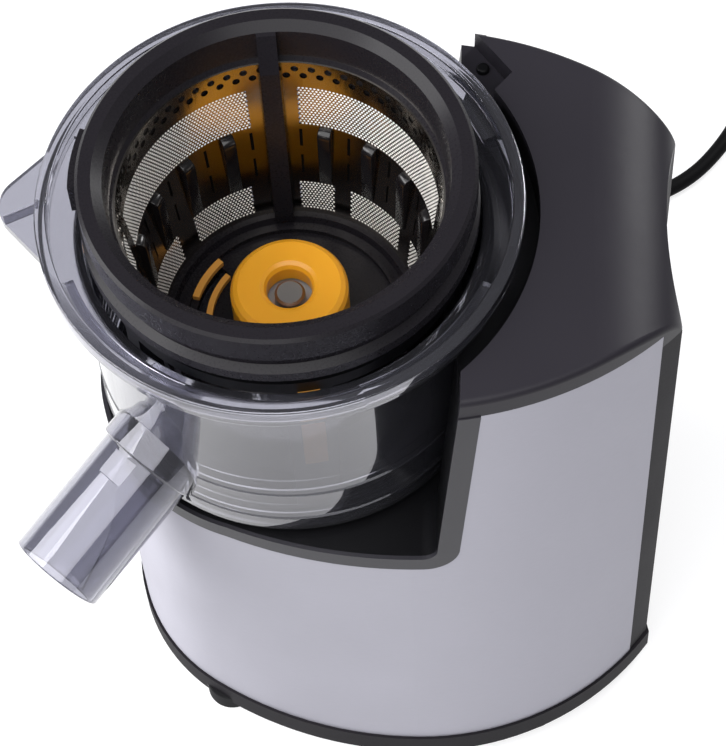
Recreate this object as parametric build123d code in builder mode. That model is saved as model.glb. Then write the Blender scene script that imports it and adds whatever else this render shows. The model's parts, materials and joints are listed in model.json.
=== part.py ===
from build123d import *
from math import acos, asin, atan2, cos, degrees, pi, radians, sin, sqrt, tan
import os

# A cold press juicer: a motor base with a bay at its left end, and in the bay a clear bowl with
# its wiper basket and strainer. Millimetres, +Z up. Every sketch is drawn about the drive axis,
# and the drive axis stands at (axis_x, axis_y), so that the origin is under the middle of the
# juicer, on the table.

# ---- Base: plan outline, seen from above about the drive axis ----
end_land = 1.5  # round left end stands this far outside the bowl
low_margin = 12.5  # front and rear stand this far outside the bowl's radius, at the pan
high_margin = 5.0  # the same at the top cover
widest_x = 38.0  # where the base is widest
right_end = 119.0  # the two corners of the waisted right end
waist_depth = 4.0  # how far the right end curves in between its corners
corner_y = 33.0  # half of the distance between the two corners
run_on = 10.0  # how far the flanks are drawn past the corners before the waist is cut

# ---- Base: heights above the table ----
foot_height = 6.0
pan_height = 10.0
bay_level = 149.0  # bay floor that the bowl stands on
base_top = 240.0
cover_side = 8.0  # height of the top cover's side above the steel wrap

# ---- Base: walls ----
steel_gauge = 1.0
shell_wall = 2.5
cover_wall = 3.0
pan_wall = 3.0
pan_lip = 1.0  # how far the pan stands out past the steel
liner_wall = 2.5
corner_strip = 6.0  # width of the black strips at the right end
waist_half = 28.0  # half width of the waisted wall between the strips
roll_width = 26.0  # top cover rolls over to the right end, wider than it is deep
roll_depth = 14.0
top_round = 2.0  # rounding of the top cover's front and rear edges

# ---- Bay ----
bay_gap = 3.5  # between the bowl and the column's hollow face
mouth_gap = 4.3  # between the bowl's rim and the wider round mouth above
mouth_depth = 14.0  # from the top of the base down to the mouth's ledge
jamb_low = 46.0  # the column's edge beside the bay, at the bay floor
jamb_high = 54.0  # the same at the top of the base
bay_corner = 5.0
trim_width = 6.5
trim_stand = 0.4  # how far the bay trim stands proud of the steel

# ---- Bowl ----
bowl_radius = 62.5
bowl_wall = 2.5
bowl_floor = 3.5
rim_reach = 10.5  # how far the rim stands out past the bowl's wall
rim_wall = 3.8
rim_rise = 6.0  # rim above the top of the base
rim_depth = 12.0
rim_step = 1.2
tube_radius = 15.5
tube_wall = 2.2
mouth_step = 0.2  # tube's bore is this much wider at its mouth
mouth_length = 30.0
tube_slope = 22.0  # degrees below level
tube_turn = -133.0  # degrees about the drive axis, 0 towards the right end
tube_rise = 46.0  # above the bay floor, where the tube's centre line meets the drive axis
tube_stand = 52.0  # how far the tube stands out past the bowl's wall, along the tube
beak_stand = 11.0  # how far the beak stands out past the rim
beak_half_width = 16.0
beak_nose = 4.5  # half width of the beak's blunt end
beak_gauge = 3.0
keel_gauge = 1.4
collar_stand = 1.5  # how far the tube's root collar stands out
collar_length = 7.5
spigot_wall = 2.5
spigot_gap = 2.0  # between the shaft and the spigot, filled by the seal
spigot_height = 37.0

# ---- Strainer and wiper basket ----
flange_gap = 3.0  # flange inside the bowl's outer radius
ring_step = 0.5  # ring inside the flange's radius
ring_wall = 5.4
ring_chamfer = 2.4  # slope inside the ring's top edge
ring_rise = 16.0  # ring above the bowl's rim
flange_height = 4.0
flange_drop = 5.0  # flange's underside below the bowl's rim
cone_inset = 10.9  # cone's top edge inside the flange's radius
cone_rise = 1.5  # cone's top edge above the bowl's rim
cone_taper = 8.2  # how much the cone narrows to its foot
cone_gauge = 0.6
floor_rise = 27.0  # strainer floor above the bay floor
floor_thickness = 3.0
ridge_height = 2.0
post_gap = 1.0  # between the spigot and the strainer's post
post_wall = 5.5
tooth_drop = 28.5  # teeth start this far below the cone's top edge
tooth_length = 26.0
tooth_count = 18
tooth_depth = 3.0
tooth_width = 4.2
rib_turn = 96.0
cap_wall = 2.5
cap_height = 7.4
hub_gap = 2.2  # between the shaft and the hub cap's hole
hub_rise = 48.4  # hub cap's top above the bay floor
blade_reach = 3.5  # from the basket to the inside of the bowl
brush_wall = 3.5
blade_width = 7.0
blade_length = 36.0
blade_drop = 17.0  # blade's top below the bowl's rim
blade_count = 3
blade_turn = -80.0
blade_gap = 0.4

# ---- Drive train ----
shaft_radius = 5.0
shaft_rise = 44.5  # shaft's end above the bay floor
tip_step = 0.2  # drive end of the shaft is turned down by this much
tip_length = 5.0
running_fit = 0.05  # radial clearance of a shaft in its bush
slip_gap = 0.3  # clearance between curved faces that only pass each other
pressure_angle = 20.0
addendum_factor = 0.8
dedendum_factor = 1.05
backlash_factor = 0.06
fast_module = 0.8
fast_pinion_teeth = 14
fast_gear_teeth = 70
slow_module = 1.25
slow_pinion_teeth = 14
slow_gear_teeth = 46
motor_x = 66.0
motor_radius = 31.0
motor_low = 24.0
motor_high = 92.0
motor_shaft_radius = 3.0
rotor_radius = 19.5
gear_face = 9.0
case_wall = 3.0
case_low = 92.0
case_high = 127.0

# ---- Cord ----
cord_radius = 3.0
coil_radius = 33.0  # to the middle of the turns
coil_width = 18.0
coil_height = 11.6
plug_height = 14.0

far = 400.0  # longer than the juicer, for cuts that run right through

# ---- Sizes that follow ----
end_radius = bowl_radius + end_land
half_width_low = bowl_radius + low_margin
half_width_high = bowl_radius + high_margin
bay_radius = bowl_radius + bay_gap
rim_radius = bowl_radius + rim_reach
rim_bore = rim_radius - rim_wall
rim_top = base_top + rim_rise
mouth_radius = rim_radius + mouth_gap
mouth_level = base_top - mouth_depth
cover_seam = base_top - cover_side
tube_axis_height = bay_level + tube_rise
tube_reach = bowl_radius + tube_stand
beak_reach = rim_radius + beak_stand
spigot_radius = shaft_radius + spigot_gap + spigot_wall
spigot_top = bay_level + spigot_height
flange_radius = bowl_radius - flange_gap
ring_radius = flange_radius - ring_step
ring_bore = ring_radius - ring_wall
ring_top = rim_top + ring_rise
flange_level = rim_top - flange_drop
cone_top = rim_top + cone_rise
cone_top_radius = flange_radius - cone_inset
cone_low_radius = cone_top_radius - cone_taper
strainer_floor = bay_level + floor_rise
cone_low = strainer_floor + ridge_height
tooth_top = cone_top - tooth_drop
tooth_low = tooth_top - tooth_length
post_bore = spigot_radius + post_gap
post_radius = post_bore + post_wall
hub_radius = post_radius + cap_wall
hub_bore = shaft_radius + hub_gap
hub_top = bay_level + hub_rise
shaft_top = bay_level + shaft_rise
brush_radius = bowl_radius - bowl_wall - blade_reach
blade_high = rim_top - blade_drop
blade_low = blade_high - blade_length

tube_tilt = radians(tube_slope)
tube_swing = radians(tube_turn)
tube_flat = tube_reach * cos(tube_tilt)
tube_dir = (cos(tube_swing) * cos(tube_tilt), sin(tube_swing) * cos(tube_tilt), -sin(tube_tilt))
low_x = tube_flat * cos(tube_swing) - tube_radius * sqrt(1 - tube_dir[0] ** 2)
low_y = tube_flat * sin(tube_swing) - tube_radius * sqrt(1 - tube_dir[1] ** 2)
axis_x = -(right_end + pan_lip + min(low_x, -beak_reach)) / 2
axis_y = -(half_width_low + pan_lip + low_y) / 2

drive = Plane((axis_x, axis_y, 0))
side = Plane((axis_x, axis_y, 0), x_dir=(1, 0, 0), z_dir=(0, -1, 0))
drive_axis = Axis((axis_x, axis_y, 0), (0, 0, 1))

waist_radius = (corner_y**2 + waist_depth**2) / (2 * waist_depth)
pan_top = foot_height + pan_height
cover_low = base_top - roll_depth
fast_distance = fast_module * (fast_pinion_teeth + fast_gear_teeth) / 2
slow_distance = slow_module * (slow_pinion_teeth + slow_gear_teeth) / 2
idler_x = (slow_distance**2 - fast_distance**2 + motor_x**2) / (2 * motor_x)
idler_y = sqrt(slow_distance**2 - idler_x**2)
rim_low = rim_top - rim_depth
tube_radius_bore = tube_radius - tube_wall

os.makedirs("parts", exist_ok=True)
bodies = {}


def save(piece, name):
    """Label a finished piece and write its STEP file."""
    piece.part.label = name
    export_step(piece.part, f"parts/{name}.step")


def half_width_at(height):
    """Half of the base's width at a height, on its leaning front and rear."""
    share = (height - foot_height) / (base_top - foot_height)
    return half_width_low + (half_width_high - half_width_low) * share


def flank_radius(half_width):
    """Radius of the base's front and rear in plan, right of the widest place."""
    rise = half_width - corner_y
    return ((right_end - widest_x) ** 2 + rise**2) / (2 * rise)


def rear_at(x, height, inset):
    """How far the rear wall stands behind the drive axis at a place along the base."""
    half_width = half_width_at(height)
    flank = flank_radius(half_width)
    return half_width - flank + sqrt((flank - inset) ** 2 - (x - widest_x) ** 2)


def outline(half_width, inset):
    """The base's plan outline as a flat face, moved in by the inset and run on past the waist."""
    width = half_width - inset
    end = end_radius - inset
    arc = (widest_x**2 + width**2 - end**2) / (2 * (width - end))
    meet_x = -end * widest_x / (arc - end)
    meet_y = end * (arc - width) / (arc - end)
    flank = flank_radius(half_width)
    turn = asin((right_end - widest_x) / flank) + run_on / flank
    cut_x = widest_x + (flank - inset) * sin(turn)
    cut_y = half_width - flank + (flank - inset) * cos(turn)
    with BuildSketch() as plan:
        with BuildLine():
            ThreePointArc((meet_x, -meet_y), (-end, 0), (meet_x, meet_y))
            TangentArc((widest_x, width), (meet_x, meet_y), tangent=(-1, 0))
            TangentArc((widest_x, width), (cut_x, cut_y), tangent=(1, 0))
            Line((cut_x, cut_y), (cut_x, -cut_y))
            TangentArc((widest_x, -width), (cut_x, -cut_y), tangent=(1, 0))
            TangentArc((widest_x, -width), (meet_x, -meet_y), tangent=(-1, 0))
        make_face()
    return plan.sketch


def full_body(inset):
    """The leaning solid body of the base over its whole height, moved in by the inset."""
    with BuildPart() as body:
        for height in (0, base_top):
            with BuildSketch(drive.offset(height)):
                add(outline(half_width_at(height), inset))
        loft(ruled=True)
        with BuildSketch(drive):
            with Locations((right_end - waist_depth + waist_radius, 0)):
                Circle(waist_radius + inset)
        extrude(amount=base_top, mode=Mode.SUBTRACT)
    return body.part


def block(inset, low, high):
    """The solid body of the base between two heights, moved in by the inset."""
    if inset not in bodies:
        bodies[inset] = full_body(inset)
    with BuildPart() as piece:
        with BuildSketch(drive.offset(low)):
            Circle(far)
        extrude(amount=high - low)
        add(bodies[inset], mode=Mode.INTERSECT)
    return piece.part


def bay(grow):
    """The open space of the bay, grown outwards all round."""
    slope = (jamb_high - jamb_low) / (base_top - bay_level)
    above = 30.0
    with BuildPart() as space:
        with BuildSketch(side) as profile:
            with BuildLine():
                Polyline(
                    (-far, bay_level - grow),
                    (jamb_low + grow, bay_level - grow),
                    (jamb_high + grow + slope * above, base_top + above),
                    (-far, base_top + above),
                    close=True,
                )
            make_face()
            fillet(profile.vertices().group_by(Axis.Y)[0].sort_by(Axis.X)[-1], bay_corner + grow)
        extrude(amount=far, both=True)
        with BuildSketch(drive.offset(bay_level - grow)):
            Circle(bay_radius + grow)
        extrude(amount=far)
        with BuildSketch(drive.offset(mouth_level - grow)):
            Circle(mouth_radius + grow)
        extrude(amount=far)
    return space.part


def notch(grow, low, high):
    """The step in the top cover at the rear left, where the lid's latch comes down."""
    with BuildPart() as step:
        with BuildSketch(drive.offset(low)):
            with BuildLine():
                Polyline(
                    (notch_x + grow, notch_y),
                    (notch_x - notch_run[0] + grow, notch_y + notch_run[1]),
                    (0, notch_y + notch_run[1]),
                    (0, notch_y - notch_depth - grow),
                    (notch_x - notch_shift + grow, notch_y - notch_depth - grow),
                    close=True,
                )
            make_face()
        extrude(amount=high - low)
    return step.part


def roll(inset):
    """Side profile of the base with its rolled right shoulder, as a bar across the base."""
    width = roll_width - inset
    depth = roll_depth - inset
    end = right_end - inset
    top = base_top - inset
    with BuildPart() as bar:
        with BuildSketch(side):
            with BuildLine():
                Line((end + far, 0), (end + far, top - depth))
                Line((end + far, top - depth), (end, top - depth))
                EllipticalCenterArc((end - width, top - depth), width, depth, 0, arc_size=90)
                Line((end - width, top), (-far, top))
                Line((-far, top), (-far, 0))
                Line((-far, 0), (end + far, 0))
            make_face()
        extrude(amount=far, both=True)
    return bar.part


def gear_outline(module, teeth, turn):
    """A spur gear's flat outline with stub involute teeth; one tooth points along turn degrees."""
    pitch = module * teeth / 2
    base = pitch * cos(radians(pressure_angle))
    tip = pitch + addendum_factor * module
    root = pitch - dedendum_factor * module
    flank = [max(base, root + 0.01), (base + tip) / 2, tip]
    involute = tan(radians(pressure_angle)) - radians(pressure_angle)
    half_pitch = pi / (2 * teeth) - backlash_factor * module / pitch

    def half_angle(radius):
        slant = acos(min(1.0, base / radius))
        return half_pitch + involute - (tan(slant) - slant)

    points = []
    for tooth in range(teeth):
        middle = radians(turn) + 2 * pi * tooth / teeth
        rising = [(root, middle - half_angle(base))]
        rising += [(radius, middle - half_angle(radius)) for radius in flank]
        falling = [(radius, middle + half_angle(radius)) for radius in reversed(flank)]
        falling += [(root, middle + half_angle(base))]
        points += [(radius * cos(angle), radius * sin(angle)) for radius, angle in rising + falling]
    with BuildSketch() as wheel:
        with BuildLine():
            Polyline(*points, close=True)
        make_face()
    return wheel.sketch


def sector(inner, outer, low, high, turn, span):
    """A piece of a ring about the drive axis, with its middle at turn degrees."""
    with BuildPart() as piece:
        with BuildSketch(drive.offset(low)):
            with BuildLine():
                CenterArc((0, 0), outer, turn - span / 2, span)
                CenterArc((0, 0), inner, turn - span / 2, span)
                for angle in (turn - span / 2, turn + span / 2):
                    Line(
                        (inner * cos(radians(angle)), inner * sin(radians(angle))),
                        (outer * cos(radians(angle)), outer * sin(radians(angle))),
                    )
            make_face()
        extrude(amount=high - low)
    return piece.part


def spun(*profile):
    """A solid of revolution from a closed profile of (radius, height) points."""
    with BuildPart() as piece:
        with BuildSketch(side):
            with BuildLine():
                Polyline(*profile, close=True)
            make_face()
        revolve(axis=drive_axis)
    return piece.part


def cone_radius(height):
    """Inner radius of the strainer cone at a height."""
    share = (height - cone_low) / (cone_top - cone_low)
    return cone_low_radius + (cone_top_radius - cone_low_radius) * share


notch_x = jamb_high + 15
notch_y = half_width_high - 17
notch_depth = 8.5  # from the step's corner to its short side
notch_shift = 7.0
notch_run = (24.0, 32.0)  # slant of the step's long side

bay_space = bay(0)
bay_liner_space = bay(liner_wall)
bay_trim_space = bay(trim_width)
notch_space = notch(0, cover_seam, base_top + 20)
notch_below = notch(cover_wall, cover_seam - cover_wall, base_top + 20)
roll_outer = roll(0)
roll_inner = roll(cover_wall)

# ---- Base pan: floor, raised edge that the walls stand on, bosses and air slots ----
foot_left = (34.0 - end_radius, end_radius - 15.0)
foot_right = (right_end - 41.0, half_width_low - 19.0)
foot_places = [(x, sign * y) for x, y in (foot_left, foot_right) for sign in (-1, 1)]
foot_radius = 9.0
foot_seat = 1.5
screw_left = (20.0 - end_radius, end_radius - 28.0)
screw_right = (right_end - 22.0, corner_y + 13.0)
screw_places = [(x, sign * y) for x, y in (screw_left, screw_right) for sign in (-1, 1)]
screw_radius = 1.75
screw_gap = 0.1
boss_radius = 5.0
slot_length = 44.0
slot_width = 3.0
slot_pitch = 7.0
slot_count = 7

with BuildPart() as base_pan:
    add(block(-pan_lip, foot_height, pan_top))
    add(block(steel_gauge + shell_wall, foot_height + pan_wall, pan_top + 1), mode=Mode.SUBTRACT)
    with BuildSketch(drive.offset(foot_height)):
        with Locations(*screw_places):
            Circle(boss_radius)
    extrude(amount=pan_height)
    with BuildSketch(drive.offset(foot_height)):
        with Locations(*screw_places):
            Circle(screw_radius + screw_gap)
    extrude(amount=pan_height, mode=Mode.SUBTRACT)
    with BuildSketch(drive.offset(foot_height)):
        with Locations(*screw_places):
            Circle(2 * screw_radius + screw_gap)
        with Locations(*foot_places):
            Circle(foot_radius)
    extrude(amount=foot_seat + screw_radius, mode=Mode.SUBTRACT)
    with BuildSketch(drive.offset(foot_height)):
        with Locations((motor_x, 0)):
            with GridLocations(0, slot_pitch, 1, slot_count):
                SlotOverall(slot_length, slot_width)
    extrude(amount=pan_wall, mode=Mode.SUBTRACT)
save(base_pan, "base_pan")

# ---- Feet, each a turned rubber button seated in the pan ----
for number, place in enumerate(foot_places, start=1):
    with BuildPart() as foot:
        with BuildSketch(drive):
            with Locations(place):
                Circle(foot_radius - screw_gap)
        extrude(amount=foot_height + foot_seat + screw_radius)
        chamfer(foot.edges().group_by(Axis.Z)[0], 1.2)
        fillet(foot.edges().group_by(Axis.Z)[-1], 0.4)
    save(foot, f"foot_{number}")

# ---- Pan screws ----
screw_length = 22.0
with BuildPart() as pan_screws:
    head_low = foot_height + 0.3
    with BuildSketch(drive.offset(head_low)):
        with Locations(*screw_places):
            Circle(2 * screw_radius - screw_gap)
    extrude(amount=foot_seat + screw_radius - 0.3)
    with BuildSketch(drive.offset(head_low)):
        with Locations(*screw_places):
            Circle(screw_radius)
    extrude(amount=screw_length)
    with BuildSketch(drive.offset(head_low)):
        with Locations(*screw_places):
            Rectangle(4, 0.8)
            Rectangle(0.8, 4)
    extrude(amount=1.4, mode=Mode.SUBTRACT)
save(pan_screws, "pan_screws")

# ---- Hole for the cord's strain relief in the rear wall ----
relief_x = right_end - 39
relief_z = pan_top + 6
relief_base = 5.5
with BuildPart() as relief_hole:
    with BuildSketch(Plane((axis_x + relief_x, axis_y, relief_z), z_dir=(0, 1, 0))):
        Circle(relief_base)
    extrude(amount=far)

# ---- Steel wrap: one sheet round the front, the left end and the rear ----
strip_x = right_end - corner_strip
with BuildPart() as wrap_field:
    with BuildSketch(drive):
        with Locations((strip_x - far, 0)):
            Rectangle(2 * far, 2 * far)
        with Locations((strip_x, 0)):
            Rectangle(4 * corner_strip, 2 * waist_half, mode=Mode.SUBTRACT)
    extrude(amount=far)
with BuildPart() as steel_wrap:
    add(block(0, pan_top, cover_seam))
    add(block(steel_gauge, pan_top - 1, cover_seam + 1), mode=Mode.SUBTRACT)
    add(wrap_field.part, mode=Mode.INTERSECT)
    add(bay_trim_space, mode=Mode.SUBTRACT)
    add(notch_below, mode=Mode.SUBTRACT)
    add(relief_hole.part, mode=Mode.SUBTRACT)
save(steel_wrap, "steel_wrap")

# ---- Body shell: the moulded wall behind the steel, with screw bosses and a switch shelf ----
shelf_low = cover_seam - 27
shelf_x = jamb_high + 5
shelf_y = half_width_high - 9.5
with BuildPart() as body_shell:
    add(block(steel_gauge, pan_top, cover_seam))
    add(block(steel_gauge + shell_wall, pan_top - 1, cover_seam + 1), mode=Mode.SUBTRACT)
    add(wrap_field.part, mode=Mode.INTERSECT)
    with BuildSketch(drive.offset(pan_top)):
        with Locations(*screw_places):
            Circle(boss_radius)
    extrude(amount=screw_length)
    with BuildSketch(drive.offset(shelf_low)):
        with Locations((shelf_x, shelf_y)):
            Rectangle(22, 14)
    extrude(amount=3)
    add(block(steel_gauge, pan_top, cover_seam), mode=Mode.INTERSECT)
    add(bay_liner_space, mode=Mode.SUBTRACT)
    add(notch_below, mode=Mode.SUBTRACT)
    with BuildSketch(drive.offset(pan_top)):
        with Locations(*screw_places):
            Circle(screw_radius + screw_gap)
    extrude(amount=screw_length - 3, mode=Mode.SUBTRACT)
    add(relief_hole.part, mode=Mode.SUBTRACT)
save(body_shell, "body_shell")

# ---- End panel: the waisted right end, its corner strips, board bosses and switch opening ----
board_x = right_end - 23
board_gauge = 1.6
board_width = 56.0
board_height = 58.0
board_mid = cover_low - 28
board_hole = (board_width / 2 - 5, board_height / 2 - 5)
boss_width = 8.0
switch_mid = pan_top + 106
switch_width = 22.0
switch_height = 34.0
end_face = Plane((axis_x + board_x + board_gauge, axis_y, 0), x_dir=(0, 1, 0), z_dir=(1, 0, 0))
with BuildPart() as end_panel:
    add(block(0, pan_top, cover_low))
    add(block(cover_wall, pan_top - 1, cover_low + 1), mode=Mode.SUBTRACT)
    add(wrap_field.part, mode=Mode.SUBTRACT)
    with BuildSketch(end_face):
        with Locations((0, board_mid)):
            with GridLocations(2 * board_hole[0], 2 * board_hole[1], 2, 2):
                Rectangle(boss_width, boss_width)
    extrude(amount=right_end - waist_depth + 0.5 - board_x - board_gauge)
    with BuildSketch(end_face):
        with Locations((0, board_mid)):
            with GridLocations(2 * board_hole[0], 2 * board_hole[1], 2, 2):
                Circle(1.3)
    extrude(amount=8, mode=Mode.SUBTRACT)
    with BuildSketch(end_face):
        with Locations((0, switch_mid)):
            Rectangle(switch_width, switch_height)
    extrude(amount=far, mode=Mode.SUBTRACT)
    with BuildSketch(end_face):
        with Locations((0, 44)):
            with GridLocations(0, slot_pitch, 1, 5):
                SlotOverall(slot_length, slot_width)
    extrude(amount=far, mode=Mode.SUBTRACT)
save(end_panel, "end_panel")

# ---- Top cover: flat top, rolled right shoulder, round mouth and the rear step ----
rod_x = jamb_high + 6
rod_y = half_width_high - 10.5
rod_radius = 2.0
cover_hollow = block(cover_wall, cover_low - 1, base_top - cover_wall) & roll_inner
with BuildPart() as below_seam:
    with BuildSketch(drive):
        Circle(far)
    extrude(amount=cover_seam)
    add(wrap_field.part, mode=Mode.INTERSECT)
with BuildPart() as step_wall:
    add(block(0, cover_seam - cover_wall, base_top - 1))
    add(notch(cover_wall, cover_seam - cover_wall, base_top), mode=Mode.INTERSECT)
with BuildPart() as top_cover:
    add(block(0, cover_low, base_top))
    add(roll_outer, mode=Mode.INTERSECT)
    top_edges = top_cover.edges().group_by(Axis.Z)[-1].filter_by(lambda edge: edge.length > 30)
    fillet(top_edges.filter_by(GeomType.LINE, reverse=True), top_round)
    add(cover_hollow, mode=Mode.SUBTRACT)
    add(below_seam.part, mode=Mode.SUBTRACT)
    add(step_wall.part)
    add(notch_space, mode=Mode.SUBTRACT)
    with BuildSketch(drive.offset(cover_seam - 10)):
        with Locations((rod_x, rod_y)):
            Circle(2 * rod_radius)
    extrude(amount=8)
    with BuildSketch(drive.offset(cover_seam - 10)):
        with Locations((rod_x, rod_y)):
            Circle(rod_radius + running_fit)
    extrude(amount=10, mode=Mode.SUBTRACT)
    add(bay_space, mode=Mode.SUBTRACT)
save(top_cover, "top_cover")

# ---- Bay liner: floor, hollow face of the column and jambs, behind the trim ----
seal_seat = shaft_radius + 5
with BuildPart() as bay_liner:
    add(block(steel_gauge, bay_level - liner_wall, base_top - cover_wall))
    add(bay_liner_space, mode=Mode.INTERSECT)
    add(bay_space, mode=Mode.SUBTRACT)
    add(top_cover.part, mode=Mode.SUBTRACT)
    add(notch_below, mode=Mode.SUBTRACT)
    with BuildSketch(drive.offset(bay_level - liner_wall)):
        Circle(seal_seat)
    extrude(amount=liner_wall, mode=Mode.SUBTRACT)
save(bay_liner, "bay_liner")

# ---- Bay trim: the grey edge that runs round the opening, over the edge of the steel ----
with BuildPart() as bay_trim:
    add(block(-trim_stand, bay_level - trim_width, cover_seam))
    add(block(steel_gauge, bay_level - trim_width, cover_seam), mode=Mode.SUBTRACT)
    add(bay_trim_space, mode=Mode.INTERSECT)
    add(bay_space, mode=Mode.SUBTRACT)
    add(notch_below, mode=Mode.SUBTRACT)
    add(top_cover.part, mode=Mode.SUBTRACT)
save(bay_trim, "bay_trim")

# ---- Bay seal: rubber ring round the drive shaft in the bay floor ----
with BuildPart() as bay_seal:
    add(
        spun(
            (shaft_radius + 2 * running_fit, bay_level - liner_wall - 1),
            (seal_seat + 2, bay_level - liner_wall - 1),
            (seal_seat + 2, bay_level - liner_wall),
            (seal_seat, bay_level - liner_wall),
            (seal_seat, bay_level - 0.2),
            (shaft_radius + 3, bay_level - 0.2),
            (shaft_radius + 2 * running_fit, bay_level - 1.2),
        )
    )
save(bay_seal, "bay_seal")

# ---- Gear train: motor pinion, idler with its small pinion, output gear and drive shaft ----
motor = Plane((axis_x + motor_x, axis_y, 0))
idler = Plane((axis_x + idler_x, axis_y + idler_y, 0))
to_idler = degrees(atan2(idler_y, idler_x - motor_x))
from_idler = degrees(atan2(-idler_y, -idler_x))
fast_low = case_low + case_wall + 2
slow_low = fast_low + gear_face + 1.5
slow_face = gear_face + 2
gear_hub_height = 3.0

with BuildPart() as motor_pinion:
    with BuildSketch(motor.offset(fast_low - 1)):
        add(gear_outline(fast_module, fast_pinion_teeth, to_idler))
        Circle(motor_shaft_radius, mode=Mode.SUBTRACT)
    extrude(amount=gear_face + 2)
save(motor_pinion, "motor_pinion")

with BuildPart() as motor_rotor:
    with BuildSketch(motor.offset(motor_low - 10)):
        Circle(motor_shaft_radius)
    extrude(amount=fast_low + gear_face + 3 - motor_low + 10)
    with BuildSketch(motor.offset(motor_low + 12)):
        Circle(rotor_radius)
        with PolarLocations(rotor_radius, 24):
            Circle(0.8, mode=Mode.SUBTRACT)
    extrude(amount=motor_high - motor_low - 24)
save(motor_rotor, "motor_rotor")

fan_blades = 9
fan_radius = 27.0
with BuildPart() as cooling_fan:
    with BuildSketch(motor.offset(foot_height + pan_wall + 3)):
        Circle(fan_radius)
        Circle(motor_shaft_radius, mode=Mode.SUBTRACT)
    extrude(amount=1.5)
    with BuildSketch(motor.offset(foot_height + pan_wall + 3)):
        Circle(7)
        Circle(motor_shaft_radius, mode=Mode.SUBTRACT)
        with PolarLocations((fan_radius + 7) / 2, fan_blades):
            Rectangle(fan_radius - 7, 1.2, rotation=18)
    extrude(amount=9)
save(cooling_fan, "cooling_fan")

with BuildPart() as idler_gear:
    with BuildSketch(idler.offset(fast_low)):
        turn = to_idler + 180 + 180 / fast_gear_teeth
        add(gear_outline(fast_module, fast_gear_teeth, turn))
        with PolarLocations(17, 6):
            Circle(5, mode=Mode.SUBTRACT)
    extrude(amount=gear_face)
    with BuildSketch(idler.offset(fast_low + gear_face)):
        add(gear_outline(slow_module, slow_pinion_teeth, from_idler))
    extrude(amount=slow_face + 2)
    with BuildSketch(idler.offset(fast_low)):
        Circle(motor_shaft_radius + running_fit)
    extrude(amount=far, mode=Mode.SUBTRACT)
save(idler_gear, "idler_gear")

with BuildPart() as idler_pin:
    with BuildSketch(idler.offset(case_low + case_wall)):
        Circle(motor_shaft_radius)
    extrude(amount=case_high - case_low - case_wall)
save(idler_pin, "idler_pin")

with BuildPart() as output_gear:
    with BuildSketch(drive.offset(slow_low)):
        turn = from_idler + 180 + 180 / slow_gear_teeth
        add(gear_outline(slow_module, slow_gear_teeth, turn))
        with PolarLocations(18, 6):
            Circle(4.5, mode=Mode.SUBTRACT)
    extrude(amount=slow_face)
    with BuildSketch(drive.offset(slow_low + slow_face)):
        Circle(2 * shaft_radius)
    extrude(amount=gear_hub_height)
    with BuildSketch(drive.offset(slow_low)):
        Circle(shaft_radius)
    extrude(amount=far, mode=Mode.SUBTRACT)
save(output_gear, "output_gear")

with BuildPart() as drive_shaft:
    with BuildSketch(drive.offset(slow_low - 3)):
        Circle(shaft_radius)
    extrude(amount=shaft_top - tip_length - slow_low + 3)
    with BuildSketch(drive.offset(shaft_top - tip_length)):
        Circle(shaft_radius - tip_step)
    extrude(amount=tip_length)
    chamfer(drive_shaft.edges().group_by(Axis.Z)[-1], 0.8)
save(drive_shaft, "drive_shaft")

# ---- Gearbox: a cup under the bay floor that carries the gears and hangs the motor ----
case_round = slow_module * slow_gear_teeth / 2 + 5
idler_round = fast_module * fast_gear_teeth / 2 + 4
motor_round = 14.0
post_places = ((-24, -22), (-24, 22), (38, -20), (6, 31))
post_size = 4.0
cover_gauge = 4.0


def case_plan(grow):
    """Plan of the gearbox as one rounded outline over its three shafts."""
    with BuildSketch() as plan:
        Circle(case_round + grow)
        with Locations((idler_x, idler_y)):
            Circle(idler_round + grow)
        with Locations((motor_x, 0)):
            Circle(motor_round + grow)
        make_hull()
    return plan.sketch


with BuildPart() as gearbox_case:
    with BuildSketch(drive.offset(case_low)):
        add(case_plan(case_wall))
    extrude(amount=case_high - case_low)
    with BuildSketch(drive.offset(case_low + case_wall)):
        add(case_plan(0))
    extrude(amount=case_high - case_low - case_wall, mode=Mode.SUBTRACT)
    with BuildSketch(drive.offset(case_low + case_wall)):
        Circle(8.2)
    extrude(amount=slow_low - 3 - case_low - case_wall + 2)
    with BuildSketch(drive.offset(slow_low - 3)):
        Circle(shaft_radius + running_fit)
    extrude(amount=2, mode=Mode.SUBTRACT)
    with BuildSketch(motor.offset(case_low)):
        Circle(motor_shaft_radius + 1)
    extrude(amount=case_wall, mode=Mode.SUBTRACT)
save(gearbox_case, "gearbox_case")

with BuildPart() as gearbox_cover:
    with BuildSketch(drive.offset(case_high)):
        add(case_plan(case_wall))
        Circle(seal_seat, mode=Mode.SUBTRACT)
    extrude(amount=cover_gauge)
    with BuildSketch(drive.offset(case_high + cover_gauge)):
        with Locations(*post_places):
            Circle(post_size)
    extrude(amount=bay_level - liner_wall - case_high - cover_gauge)
save(gearbox_cover, "gearbox_cover")

case_screws_at = ((-33, 0), (-10, -32), (73, 10), (73, -10))
with BuildPart() as case_screws:
    with BuildSketch(drive.offset(case_high + cover_gauge)):
        with Locations(*case_screws_at):
            Circle(2.8)
    extrude(amount=2.2)
    with BuildSketch(drive.offset(case_high + cover_gauge + 1)):
        with Locations(*case_screws_at):
            Rectangle(3.4, 0.7)
    extrude(amount=1.2, mode=Mode.SUBTRACT)
save(case_screws, "case_screws")

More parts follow.
